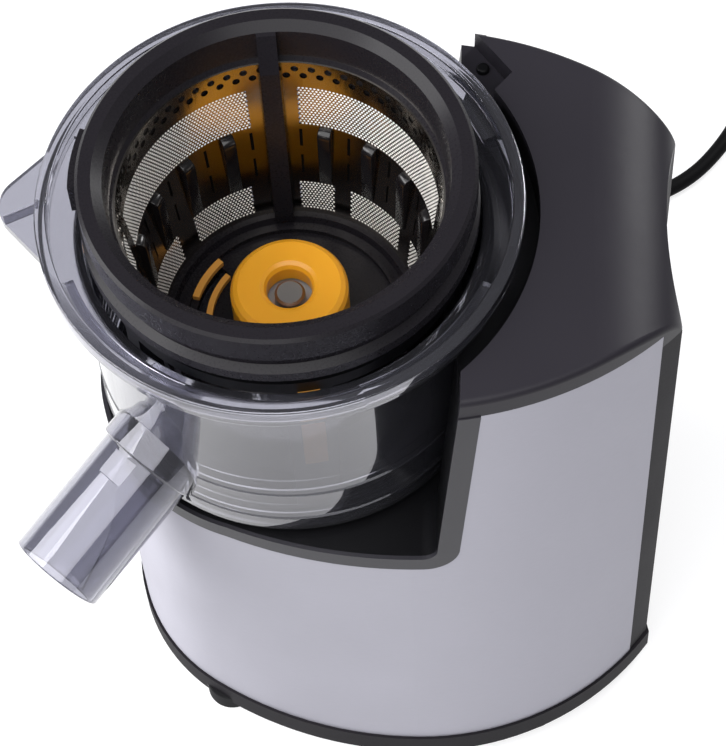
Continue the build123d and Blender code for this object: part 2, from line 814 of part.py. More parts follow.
# ---- Shaft bush: flanged bronze bearing in the gearbox cover ----
with BuildPart() as shaft_bush:
    add(
        spun(
            (shaft_radius + running_fit, slow_low + slow_face + gear_hub_height + 0.4),
            (seal_seat, slow_low + slow_face + gear_hub_height + 0.4),
            (seal_seat, case_high + cover_gauge),
            (seal_seat + 2, case_high + cover_gauge),
            (seal_seat + 2, case_high + cover_gauge + 2),
            (shaft_radius + running_fit, case_high + cover_gauge + 2),
        )
    )
save(shaft_bush, "shaft_bush")

# ---- Motor: steel can with end bells, and the wound stator in it ----
can_wall = 1.6
with BuildPart() as motor_can:
    with BuildSketch(motor.offset(motor_low)):
        Circle(motor_radius)
    extrude(amount=motor_high - motor_low)
    with BuildSketch(motor.offset(motor_low + can_wall)):
        Circle(motor_radius - can_wall)
    extrude(amount=motor_high - motor_low - 2 * can_wall, mode=Mode.SUBTRACT)
    with BuildSketch(motor.offset(motor_low)):
        Circle(motor_shaft_radius + running_fit)
        with PolarLocations(19, 6):
            Circle(5)
    extrude(amount=can_wall, mode=Mode.SUBTRACT)
    with BuildSketch(motor.offset(motor_low)):
        Circle(motor_shaft_radius + running_fit)
    extrude(amount=motor_high - motor_low, mode=Mode.SUBTRACT)
save(motor_can, "motor_can")

with BuildPart() as motor_stator:
    with BuildSketch(motor.offset(motor_low + 10)):
        Circle(motor_radius - can_wall)
        Circle(rotor_radius + 0.6, mode=Mode.SUBTRACT)
    extrude(amount=motor_high - motor_low - 20)
save(motor_stator, "motor_stator")

# ---- Control board on the end panel's bosses, with its parts and screws ----
board_face = Plane((axis_x + board_x, axis_y, 0), x_dir=(0, 1, 0), z_dir=(1, 0, 0))
with BuildPart() as control_board:
    with BuildSketch(board_face):
        with Locations((0, board_mid)):
            RectangleRounded(board_width, board_height, 2)
            with GridLocations(2 * board_hole[0], 2 * board_hole[1], 2, 2):
                Circle(1.4, mode=Mode.SUBTRACT)
    extrude(amount=board_gauge)
save(control_board, "control_board")

with BuildPart() as board_parts:
    with BuildSketch(board_face):
        with Locations((-12, board_mid + 8)):
            Circle(8)
        with Locations((10, board_mid + 12)):
            Rectangle(16, 12)
        with Locations((6, board_mid - 14)):
            Rectangle(24, 10)
    extrude(amount=-13)
    with BuildSketch(board_face):
        with Locations((-15, board_mid - 14)):
            Rectangle(9, 12)
    extrude(amount=-9)
save(board_parts, "board_parts")

with BuildPart() as board_screws:
    with BuildSketch(board_face):
        with Locations((0, board_mid)):
            with GridLocations(2 * board_hole[0], 2 * board_hole[1], 2, 2):
                Circle(2.4)
    extrude(amount=-1.8)
    with BuildSketch(board_face):
        with Locations((0, board_mid)):
            with GridLocations(2 * board_hole[0], 2 * board_hole[1], 2, 2):
                Circle(1.25)
    extrude(amount=8)
save(board_screws, "board_screws")

# ---- Power switch in the end panel, with its rocker ----
switch_front = right_end - 1.5
bezel_gauge = 2.0
switch_depth = 13.0
rocker_width = 14.0
rocker_height = 24.0
pivot_x = switch_front - 4.5
switch_face = Plane((axis_x + switch_front, axis_y, 0), x_dir=(0, 1, 0), z_dir=(1, 0, 0))
with BuildPart() as switch_body:
    with BuildSketch(switch_face):
        with Locations((0, switch_mid)):
            RectangleRounded(switch_width + 4, switch_height + 4, 2)
    extrude(amount=-bezel_gauge)
    with BuildSketch(switch_face.offset(-bezel_gauge)):
        with Locations((0, switch_mid)):
            Rectangle(switch_width - 0.2, switch_height - 0.2)
    extrude(amount=-(switch_depth - bezel_gauge))
    with BuildSketch(switch_face):
        with Locations((0, switch_mid)):
            Rectangle(rocker_width + 1, rocker_height + 1)
    extrude(amount=-(switch_depth - 2), mode=Mode.SUBTRACT)
    add(end_panel.part, mode=Mode.SUBTRACT)
save(switch_body, "switch_body")

rocker_side = Plane((axis_x, axis_y - rocker_width / 2, 0), x_dir=(1, 0, 0), z_dir=(0, -1, 0))
with BuildPart() as switch_rocker:
    with BuildSketch(rocker_side):
        with BuildLine():
            Polyline(
                (pivot_x - 3, switch_mid - 4),
                (pivot_x, switch_mid - rocker_height / 2 + 0.4),
                (pivot_x + 4.5, switch_mid - rocker_height / 2 + 0.4),
                (pivot_x + 6.2, switch_mid - rocker_height / 2 + 1.2),
                (pivot_x + 4.6, switch_mid),
                (pivot_x + 6.2, switch_mid + rocker_height / 2 - 1.2),
                (pivot_x + 4.5, switch_mid + rocker_height / 2 - 0.4),
                (pivot_x, switch_mid + rocker_height / 2 - 0.4),
                (pivot_x - 3, switch_mid + 4),
                close=True,
            )
        make_face()
    extrude(amount=-rocker_width)
save(switch_rocker, "switch_rocker")

# ---- Lid switch on the shell's shelf, and the rod that the lid presses ----
lever_shift = 1.6
with BuildPart() as lid_switch:
    with BuildSketch(drive.offset(shelf_low + 3)):
        with Locations((rod_x + lever_shift, rod_y)):
            Rectangle(12.8, 6.4)
    extrude(amount=10)
save(lid_switch, "lid_switch")

rod_travel = 1.5
with BuildPart() as lid_rod:
    with BuildSketch(drive.offset(shelf_low + 13 + rod_travel + 0.3)):
        with Locations((rod_x, rod_y)):
            Circle(rod_radius)
    extrude(amount=cover_seam + rod_travel - shelf_low - 13 - rod_travel - 0.3 + 0.2)
    fillet(lid_rod.edges().group_by(Axis.Z)[-1], 0.8)
save(lid_rod, "lid_rod")

# ---- Bowl: clear spigot round the shaft, sole on the bay floor, wall, and rim with ledges and beak ----
bowl_inside = bowl_radius - bowl_wall
sole = bay_level + bowl_floor
shoulder = rim_low + 2.0
ledge_inner = rim_bore - 4.2
ledge_span = 45.0
ledge_gauge = 2.5
tube_plane = Plane(
    (axis_x, axis_y, tube_axis_height),
    x_dir=(-sin(tube_swing), cos(tube_swing), 0),
    z_dir=tube_dir,
)
with BuildPart() as tube_bore:
    with BuildSketch(tube_plane.offset(bowl_inside - tube_radius)):
        Circle(tube_radius_bore)
    extrude(amount=far)
with BuildPart() as bowl_core:
    with BuildSketch(drive.offset(bay_level)):
        Circle(bowl_radius)
    extrude(amount=rim_top - bay_level)
with BuildPart() as bowl_spigot:
    add(
        spun(
            (spigot_radius - spigot_wall, bay_level),
            (spigot_radius, bay_level),
            (spigot_radius, spigot_top),
            (spigot_radius - spigot_wall, spigot_top),
        )
    )
save(bowl_spigot, "bowl_spigot")

with BuildPart() as bowl_sole:
    add(
        spun(
            (spigot_radius, bay_level),
            (bowl_radius - bowl_floor, bay_level),
            (bowl_radius, sole),
            (spigot_radius, sole),
        )
    )
save(bowl_sole, "bowl_sole")

with BuildPart() as bowl:
    add(
        spun(
            (bowl_inside, sole),
            (bowl_radius, sole),
            (bowl_radius, rim_low - 1),
            (bowl_inside, rim_low - 1),
        )
    )
    add(tube_bore.part, mode=Mode.SUBTRACT)
save(bowl, "bowl")

with BuildPart() as bowl_rim:
    with BuildSketch(side):
        with BuildLine():
            Polyline(
                (-bowl_radius + 1, rim_low - 22),
                (-bowl_radius + 1, rim_low - 4),
                (-rim_radius + 3, shoulder + 4),
                (-beak_reach + 1, shoulder + 4),
                close=True,
            )
        make_face()
    extrude(amount=keel_gauge / 2, both=True)
    add(bowl_core.part, mode=Mode.SUBTRACT)
    add(
        spun(
            (bowl_inside, rim_low - 1),
            (bowl_radius, rim_low - 1),
            (rim_radius - rim_step, shoulder),
            (rim_radius - rim_step, shoulder + 4),
            (rim_radius, shoulder + 4),
            (rim_radius, rim_top),
            (rim_bore, rim_top),
            (rim_bore, shoulder + bowl_wall),
            (bowl_inside, rim_low + 1.5),
        )
    )
    for turn in (-135, -45, 45, 135):
        add(sector(ledge_inner, rim_bore + 1, shoulder + 2, shoulder + 2 + ledge_gauge, turn, ledge_span))
    with BuildSketch(drive.offset(shoulder + 4)) as beak:
        with BuildLine():
            Polyline(
                (-rim_radius + 3, beak_half_width + 3),
                (-rim_radius + 3, -beak_half_width - 3),
                (-beak_reach, -beak_nose),
                (-beak_reach, beak_nose),
                close=True,
            )
        make_face()
        fillet(beak.vertices().group_by(Axis.X)[0], beak_nose - 0.5)
    extrude(amount=beak_gauge)
save(bowl_rim, "bowl_rim")

# ---- Outlet tube: clear spout that leaves the bowl's wall and slopes down to the front left ----
with BuildPart() as outlet_tube:
    with BuildSketch(tube_plane.offset(bowl_inside - tube_radius)):
        Circle(tube_radius)
        Circle(tube_radius_bore, mode=Mode.SUBTRACT)
    extrude(amount=tube_reach - bowl_inside + tube_radius)
    with BuildSketch(tube_plane.offset(bowl_inside - tube_radius)):
        Circle(tube_radius + collar_stand)
        Circle(tube_radius, mode=Mode.SUBTRACT)
    extrude(amount=bowl_radius + collar_length - bowl_inside + tube_radius)
    add(bowl_core.part, mode=Mode.SUBTRACT)
    with BuildSketch(tube_plane.offset(tube_reach - mouth_length)):
        Circle(tube_radius_bore + mouth_step)
    extrude(amount=mouth_length, mode=Mode.SUBTRACT)
save(outlet_tube, "outlet_tube")

# ---- Bowl seal: silicone cap in the spigot, round the shaft ----
seal_cap = 1.5
with BuildPart() as bowl_seal:
    add(
        spun(
            (shaft_radius + 2 * running_fit, spigot_top - 10),
            (spigot_radius - spigot_wall, spigot_top - 10),
            (spigot_radius - spigot_wall, spigot_top),
            (spigot_radius, spigot_top),
            (spigot_radius, spigot_top + seal_cap),
            (shaft_radius + 2 * running_fit, spigot_top + seal_cap),
        )
    )
save(bowl_seal, "bowl_seal")

# ---- Wiper basket: two rings and six posts that turn round the strainer, three with blades ----
basket_low = sole + slip_gap
basket_ring = 5.0
basket_top = blade_high + basket_ring
basket_inner = brush_radius - brush_wall
web_gauge = 2.4
frame_rib_outer = cone_top_radius + 1.0
web_inner = frame_rib_outer + slip_gap
blade_span = degrees(blade_width / bowl_inside)
post_span = 2.2 * blade_span
blade_turns = [blade_turn + 360 * index / blade_count for index in range(blade_count)]
with BuildPart() as brush_frame:
    with BuildSketch(drive.offset(basket_low)):
        Circle(brush_radius)
        Circle(web_inner, mode=Mode.SUBTRACT)
    extrude(amount=basket_ring)
    with BuildSketch(drive.offset(blade_high)):
        Circle(brush_radius)
        Circle(basket_inner, mode=Mode.SUBTRACT)
    extrude(amount=basket_ring)
    for turn in blade_turns:
        add(sector(basket_inner, brush_radius, basket_low, basket_top, turn, post_span))
        add(sector(basket_inner, brush_radius, basket_low, basket_top, turn + 60, blade_span))
    for turn in blade_turns:
        with BuildSketch(drive.offset(blade_low)):
            with Locations((brush_radius * cos(radians(turn)), brush_radius * sin(radians(turn)))):
                Rectangle(20, web_gauge, rotation=turn)
        extrude(amount=blade_high - blade_low, mode=Mode.SUBTRACT)
save(brush_frame, "brush_frame")

blade_tip = bowl_inside - blade_gap
for number, turn in enumerate(blade_turns, start=1):
    with BuildPart() as blade:
        add(sector(brush_radius, blade_tip, blade_low, blade_high, turn, blade_span))
        with BuildSketch(drive.offset(blade_low)):
            middle = (web_inner + blade_tip) / 2 - 0.5
            with Locations((middle * cos(radians(turn)), middle * sin(radians(turn)))):
                Rectangle(blade_tip - web_inner - 1, web_gauge, rotation=turn)
        extrude(amount=blade_high - blade_low)
    save(blade, f"brush_blade_{number}")

# ---- Strainer ring: black top ring with its flange, lug and the rib down the rear ----
collar_inner = cone_top_radius + cone_gauge
collar_outer = collar_inner + 2.3
collar_low = flange_level - 5
rib_width = 6.0
with BuildPart() as strainer_ring:
    add(
        spun(
            (collar_inner, collar_low),
            (collar_outer, collar_low),
            (collar_outer, flange_level),
            (flange_radius, flange_level),
            (flange_radius, flange_level + flange_height),
            (ring_radius - 2, flange_level + flange_height + 1.5),
            (ring_radius - 2, flange_level + flange_height + 5),
            (ring_radius, flange_level + flange_height + 7),
            (ring_radius, ring_top - 1),
            (ring_radius - 1, ring_top),
            (ring_bore + 0.6, ring_top),
            (ring_bore - ring_chamfer, ring_top - ring_chamfer),
            (ring_bore - 3.4, cone_top + 1.5),
            (collar_inner, cone_top),
        )
    )
    add(sector(ring_radius - 1, ring_radius + 2.5, rim_top, ring_top - 4, 174, 20))
save(strainer_ring, "strainer_ring")

# ---- Strainer cone: polished steel sheet with pressed teeth inside ----
tooth_turns = [rib_turn + 360 * index / tooth_count for index in range(1, tooth_count)]
with BuildPart() as cone_inside:
    add(
        spun(
            (0, cone_low - 1),
            (cone_radius(cone_low - 1), cone_low - 1),
            (cone_radius(cone_top + 1), cone_top + 1),
            (0, cone_top + 1),
        )
    )
with BuildPart() as strainer_cone:
    for turn in tooth_turns:
        with BuildSketch(drive.offset(tooth_low)):
            with PolarLocations(cone_radius(tooth_top), 1, start_angle=turn, rotate=False):
                Rectangle(2 * tooth_depth, tooth_width, rotation=turn)
        extrude(amount=tooth_top - tooth_low)
    add(cone_inside.part, mode=Mode.INTERSECT)
    add(
        spun(
            (cone_low_radius, cone_low),
            (cone_low_radius + cone_gauge, cone_low),
            (cone_top_radius + cone_gauge, cone_top),
            (cone_top_radius, cone_top),
        )
    )
save(strainer_cone, "strainer_cone")

# ---- Strainer frame: seat and ribs outside the cone, floor plate with its ridge and pulp outlet, post ----
frame_ribs = 8
frame_rib_width = 3.0
rib_middle = frame_rib_outer - 5.6
seat_outer = cone_low_radius + cone_gauge + 1.8
ridge_radius = cone_low_radius - 5.8
plate_radius = cone_low_radius - 3
outlet_inner = ridge_radius - 7.1
outlet_outer = ridge_radius - 3.6
outlet_turn = 160.0
outlet_span = 40.0
with BuildPart() as strainer_frame:
    for index in range(frame_ribs):
        turn = rib_turn + 360 * index / frame_ribs
        with BuildSketch(drive.offset(strainer_floor - floor_thickness)):
            with Locations((rib_middle * cos(radians(turn)), rib_middle * sin(radians(turn)))):
                Rectangle(2 * (frame_rib_outer - rib_middle), frame_rib_width, rotation=turn)
        extrude(amount=collar_low - strainer_floor + floor_thickness)
    add(
        spun(
            (0, cone_low - 3),
            (cone_radius(cone_low - 3) + cone_gauge, cone_low - 3),
            (cone_radius(cone_top) + cone_gauge, cone_top),
            (0, cone_top),
        ),
        mode=Mode.SUBTRACT,
    )
    add(
        spun(
            (plate_radius, strainer_floor - floor_thickness),
            (seat_outer, strainer_floor - floor_thickness),
            (seat_outer, cone_low + 4),
            (cone_radius(cone_low + 4) + cone_gauge, cone_low + 4),
            (cone_low_radius + cone_gauge, cone_low),
            (cone_low_radius - 2, cone_low),
            (plate_radius, strainer_floor),
        )
    )
save(strainer_frame, "strainer_frame")

with BuildPart() as strainer_plate:
    add(
        spun(
            (post_radius, strainer_floor - floor_thickness),
            (plate_radius, strainer_floor - floor_thickness),
            (plate_radius, strainer_floor),
            (ridge_radius, strainer_floor),
            (ridge_radius, cone_low),
            (ridge_radius - 1.2, cone_low),
            (ridge_radius - 1.2, strainer_floor),
            (post_radius, strainer_floor),
        )
    )
    add(
        sector(
            outlet_inner,
            outlet_outer,
            strainer_floor - floor_thickness,
            strainer_floor,
            outlet_turn,
            outlet_span,
        ),
        mode=Mode.SUBTRACT,
    )
save(strainer_plate, "strainer_plate")

with BuildPart() as strainer_post:
    add(
        spun(
            (post_bore, sole),
            (post_radius, sole),
            (post_radius, hub_top - cap_height),
            (post_bore, hub_top - cap_height),
        )
    )
save(strainer_post, "strainer_post")

# ---- Rear rib: black bar down the inside of the cone, from the ring to the floor ----
with BuildPart() as rear_rib:
    with BuildSketch(drive.offset(strainer_floor)):
        middle = cone_top_radius - 4
        with Locations((middle * cos(radians(rib_turn)), middle * sin(radians(rib_turn)))):
            Rectangle(16, rib_width, rotation=rib_turn)
    extrude(amount=ring_top - 1 - strainer_floor)
    add(
        spun(
            (cone_low_radius - 4.5, cone_low),
            (cone_low_radius, cone_low),
            (cone_top_radius, cone_top),
            (ring_bore - 3.4, cone_top + 1.5),
            (ring_bore - ring_chamfer, ring_top - ring_chamfer),
            (ring_bore - ring_chamfer - 1.5, ring_top - ring_chamfer),
            (cone_top_radius - 4.5, cone_top),
        ),
        mode=Mode.INTERSECT,
    )
save(rear_rib, "rear_rib")

# ---- Pulp seal: two silicone strips along the pulp outlet ----
with BuildPart() as pulp_seal:
    add(sector(outlet_outer, ridge_radius - 1.4, strainer_floor, cone_low, outlet_turn - 8, outlet_span - 12))
    add(sector(outlet_inner - 1.9, outlet_inner, strainer_floor, cone_low, outlet_turn + 2, outlet_span - 2))
save(pulp_seal, "pulp_seal")

# ---- Hub cap: the orange bush on the strainer's post ----
with BuildPart() as hub_cap:
    add(
        spun(
            (hub_bore, hub_top - cap_height),
            (post_radius, hub_top - cap_height),
            (post_radius, strainer_floor + 2),
            (hub_radius, strainer_floor + 2),
            (hub_radius, hub_top - 2.4),
            (hub_radius - 0.9, hub_top - 0.9),
            (hub_radius - 2.4, hub_top),
            (hub_bore + 2, hub_top),
            (hub_bore + 0.7, hub_top - 0.7),
            (hub_bore, hub_top - 2),
        )
    )
save(hub_cap, "hub_cap")

# ---- Cord: strain relief, the free stretch, the coil with its tie, the tail and the plug ----
relief_flange = 7.5
relief_in = rear_at(relief_x, relief_z, steel_gauge + shell_wall) - 7.35
relief_end = relief_in + 43
relief_side = Plane((axis_x + relief_x, axis_y, relief_z), x_dir=(0, 1, 0), z_dir=(0, 0, 1))
relief_axis = Axis((axis_x + relief_x, axis_y, relief_z), (0, 1, 0))
with BuildPart() as cord_relief:
    with BuildSketch(relief_side):
        with BuildLine():
            Polyline(
                (relief_in, 0),
                (relief_in, -relief_flange),
                (relief_in + 2, -relief_flange),
                (relief_in + 2, -relief_base),
                (relief_end - 26, -relief_base),
                (relief_end, -cord_radius - 1),
                (relief_end, 0),
                close=True,
            )
        make_face()
    revolve(axis=relief_axis)
save(cord_relief, "cord_relief")

coil_x = relief_x + 129
coil_y = relief_end + 135
coil_inner = coil_radius - coil_width / 2
coil_outer = coil_radius + coil_width / 2
tie_width = 12.0
tie_gauge = 0.8
coil_plane = Plane((axis_x + coil_x, axis_y + coil_y, 0))
coil_side = Plane((axis_x + coil_x, axis_y + coil_y, 0), x_dir=(1, 0, 0), z_dir=(0, -1, 0))


def coil_ring(grow):
    """The coil's outer shape, grown outwards all round, and cut level with the table."""
    with BuildPart() as ring:
        with BuildSketch(coil_side):
            with Locations((coil_radius, coil_height / 2)):
                RectangleRounded(coil_width + 2 * grow, coil_height + 2 * grow, cord_radius + grow)
        revolve(axis=Axis((axis_x + coil_x, axis_y + coil_y, 0), (0, 0, 1)))
    return ring.part


with BuildPart() as tie_field:
    with BuildSketch(coil_plane):
        with Locations((coil_radius, 0)):
            Rectangle(coil_width + 20, tie_width)
    extrude(amount=coil_height + 10)
with BuildPart() as tie_core:
    with BuildSketch(coil_side):
        with Locations((coil_radius, coil_height / 2 + tie_gauge / 2)):
            RectangleRounded(coil_width, coil_height - tie_gauge, cord_radius)
    revolve(axis=Axis((axis_x + coil_x, axis_y + coil_y, 0), (0, 0, 1)))
with BuildPart() as tie_shell:
    with BuildSketch(coil_side):
        with Locations((coil_radius, coil_height / 2 + tie_gauge / 2)):
            RectangleRounded(coil_width + 2 * tie_gauge, coil_height + tie_gauge, cord_radius + tie_gauge)
    revolve(axis=Axis((axis_x + coil_x, axis_y + coil_y, 0), (0, 0, 1)))
with BuildPart() as coil_tie:
    add(tie_shell.part)
    add(tie_core.part, mode=Mode.SUBTRACT)
    add(tie_field.part, mode=Mode.INTERSECT)
save(coil_tie, "coil_tie")

with BuildPart() as cord_coil:
    add(coil_ring(0))
    add(coil_tie.part, mode=Mode.SUBTRACT)
save(cord_coil, "cord_coil")

cord_points = [
    (0, 0, relief_z),
    (0, 13, relief_z),
    (2, 27, 18.5),
    (8, 40, 12.5),
    (18, 50.5, 7.2),
    (31.5, 59, 4.2),
    (48, 65.5, 3.05),
    (63.5, 75, 3.05),
    (75.5, 89.5, 3.05),
    (84.5, 105.5, 3.05),
    (91, 122, 3.05),
]
tail_points = [
    (168.5, 125, 3.05),
    (166.5, 109, 3.4),
    (160.5, 94.5, 5.4),
    (155, 81, 7),
    (155, 68, 7),
]


def cord_tube(points, name):
    """A cord's round tube along straight runs joined by tangent arcs, as large as the runs allow."""
    spots = [Vector(axis_x + relief_x + x, axis_y + relief_end + y, z) for x, y, z in points]
    radii = []
    for before, here, after in zip(spots, spots[1:], spots[2:]):
        shorter = min((here - before).length, (after - here).length)
        half_turn = radians((here - before).get_angle(after - here)) / 2
        radii.append(0.45 * shorter / tan(half_turn))
    with BuildPart() as tube:
        with BuildLine() as path:
            FilletPolyline(*spots, radius=radii)
        with BuildSketch(Plane(spots[0], z_dir=spots[1] - spots[0])):
            Circle(cord_radius)
        sweep()
    length = sum(edge.length for edge in path.edges())
    ratio = tube.part.volume / (pi * cord_radius**2 * length)
    bends = [round(radius, 1) for radius in radii]
    print(name, "radii", bends, "length", round(length, 1), "volume ratio", ratio)
    return tube.part


with BuildPart() as power_cord:
    add(cord_tube(cord_points, "power_cord"))
    add(cord_coil.part, mode=Mode.SUBTRACT)
save(power_cord, "power_cord")

with BuildPart() as cord_tail:
    add(cord_tube(tail_points, "cord_tail"))
    add(cord_coil.part, mode=Mode.SUBTRACT)
save(cord_tail, "cord_tail")

plug_x = relief_x + 155
plug_back = relief_end + 68
plug_length = 36.0
plug_width = 35.0
plug_neck = 14.0
pin_radius = 2.0
pin_length = 19.0
pin_pitch = 19.0
plug_plane = Plane((axis_x + plug_x, axis_y + plug_back, 0))
with BuildPart() as power_plug:
    with BuildSketch(plug_plane):
        with BuildLine():
            Polyline(
                (-plug_neck / 2, 0),
                (-plug_neck / 2 - 1, -8),
                (-plug_width / 2, -20),
                (-plug_width / 2, -plug_length),
                (plug_width / 2, -plug_length),
                (plug_width / 2, -20),
                (plug_neck / 2 + 1, -8),
                (plug_neck / 2, 0),
                close=True,
            )
        make_face()
    extrude(amount=plug_height)
    fillet(power_plug.edges().filter_by(Axis.Z), 2)
    chamfer(power_plug.edges().group_by(Axis.Z)[-1] + power_plug.edges().group_by(Axis.Z)[0], 1.5)
save(power_plug, "power_plug")

pin_plane = Plane(
    (axis_x + plug_x, axis_y + plug_back - plug_length, plug_height / 2),
    x_dir=(1, 0, 0),
    z_dir=(0, -1, 0),
)
with BuildPart() as plug_pins:
    with BuildSketch(pin_plane):
        with Locations((pin_pitch / 2, 0), (-pin_pitch / 2, 0)):
            Circle(pin_radius)
    extrude(amount=pin_length)
    chamfer(plug_pins.edges().group_by(Axis.Y)[0], 0.6)
save(plug_pins, "plug_pins")
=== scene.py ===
"""Looks of a cold press juicer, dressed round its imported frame.

Sizes are in millimetres about the drive axis, the vertical line through the drive shaft, and are
turned to metres in the frame's own axes as each piece is made.
"""

import json
import logging
import math
from dataclasses import dataclass
from enum import Enum
from typing import ClassVar

import bpy
from mathutils import Matrix, Vector

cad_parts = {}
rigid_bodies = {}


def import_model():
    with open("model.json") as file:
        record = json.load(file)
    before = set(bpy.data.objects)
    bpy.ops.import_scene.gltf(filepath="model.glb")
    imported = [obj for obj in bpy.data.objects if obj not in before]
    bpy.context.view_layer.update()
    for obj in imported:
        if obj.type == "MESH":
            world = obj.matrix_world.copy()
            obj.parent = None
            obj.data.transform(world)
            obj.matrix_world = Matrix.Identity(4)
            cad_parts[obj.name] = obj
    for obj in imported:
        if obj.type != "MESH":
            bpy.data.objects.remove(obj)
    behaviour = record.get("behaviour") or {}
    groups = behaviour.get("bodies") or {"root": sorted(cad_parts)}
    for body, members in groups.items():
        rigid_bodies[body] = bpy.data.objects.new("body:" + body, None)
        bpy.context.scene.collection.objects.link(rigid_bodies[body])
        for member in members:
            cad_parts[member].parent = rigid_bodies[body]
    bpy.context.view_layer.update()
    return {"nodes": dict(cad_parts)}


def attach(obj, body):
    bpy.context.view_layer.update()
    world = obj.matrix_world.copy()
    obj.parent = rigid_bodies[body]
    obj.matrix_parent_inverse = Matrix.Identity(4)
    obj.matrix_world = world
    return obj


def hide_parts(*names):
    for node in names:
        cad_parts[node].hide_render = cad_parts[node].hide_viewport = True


LOG = logging.getLogger("juicer")
Piece = bpy.types.Object
MM = 0.001

# The drive axis in the frame, in millimetres.
AXIS_X = -17.7948
AXIS_Y = 6.5172

# Length in millimetres of a short cutter, more than it has to go through.
CUTTER_LENGTH = 4.0

# Points closer than this, in metres, are merged.
MERGE_CUT = 1e-6
MERGE_SPUN = 2e-6
MERGE_SKIN = 3e-6


# ---- Places and colours ----


def spot(x: float, y: float, z: float) -> Vector:
    """A place in metres in the frame, from millimetres about the drive axis."""
    return Vector((AXIS_X + x, AXIS_Y + y, z)) * MM


def polar(radius: float, turn: float, z: float) -> Vector:
    """A place in metres, from a radius and height in millimetres and a turn in degrees."""
    angle = math.radians(turn)
    return spot(radius * math.cos(angle), radius * math.sin(angle), z)


def linear(code: str) -> tuple[float, float, float, float]:
    """Turn an sRGB hex colour into linear light.

    Args:
        code: Six hex digits with a leading hash.

    Returns:
        Red, green, blue and an alpha of one.
    """
    values = []
    for start in (1, 3, 5):
        level = int(code[start : start + 2], 16) / 255
        values.append(level / 12.92 if level <= 0.04045 else ((level + 0.055) / 1.055) ** 2.4)
    return (values[0], values[1], values[2], 1.0)


def add_node(
    tree: bpy.types.NodeTree,
    kind: str,
    settings: dict | None = None,
    links: dict | None = None,
) -> bpy.types.Node:
    """Add a node with its settings and links.

    Args:
        tree: Node tree to add to.
        kind: Blender's name for the node type.
        settings: Values by the name or number of an input, or by the name of a property.
        links: Output sockets by the name or number of the input they feed.

    Returns:
        The new node.
    """
    node = tree.nodes.new(kind)
    for key, value in (settings or {}).items():
        if isinstance(key, int) or key in node.inputs:
            node.inputs[key].default_value = value
        else:
            setattr(node, key, value)
    for key, socket in (links or {}).items():
        tree.links.new(socket, node.inputs[key])
    return node


# ---- Finishes ----

# Soft clouds, about 36 mm across, wander over every surface. They share in its roughness and its
# colour, which is a little lifted in them.
CLOUD_SCALE = 28.0
CLOUD_SHARE = 0.35
TINT_SHARE = 0.35
WORN_LIFT = 1.12
BUMP_DEPTH = 0.1 * MM


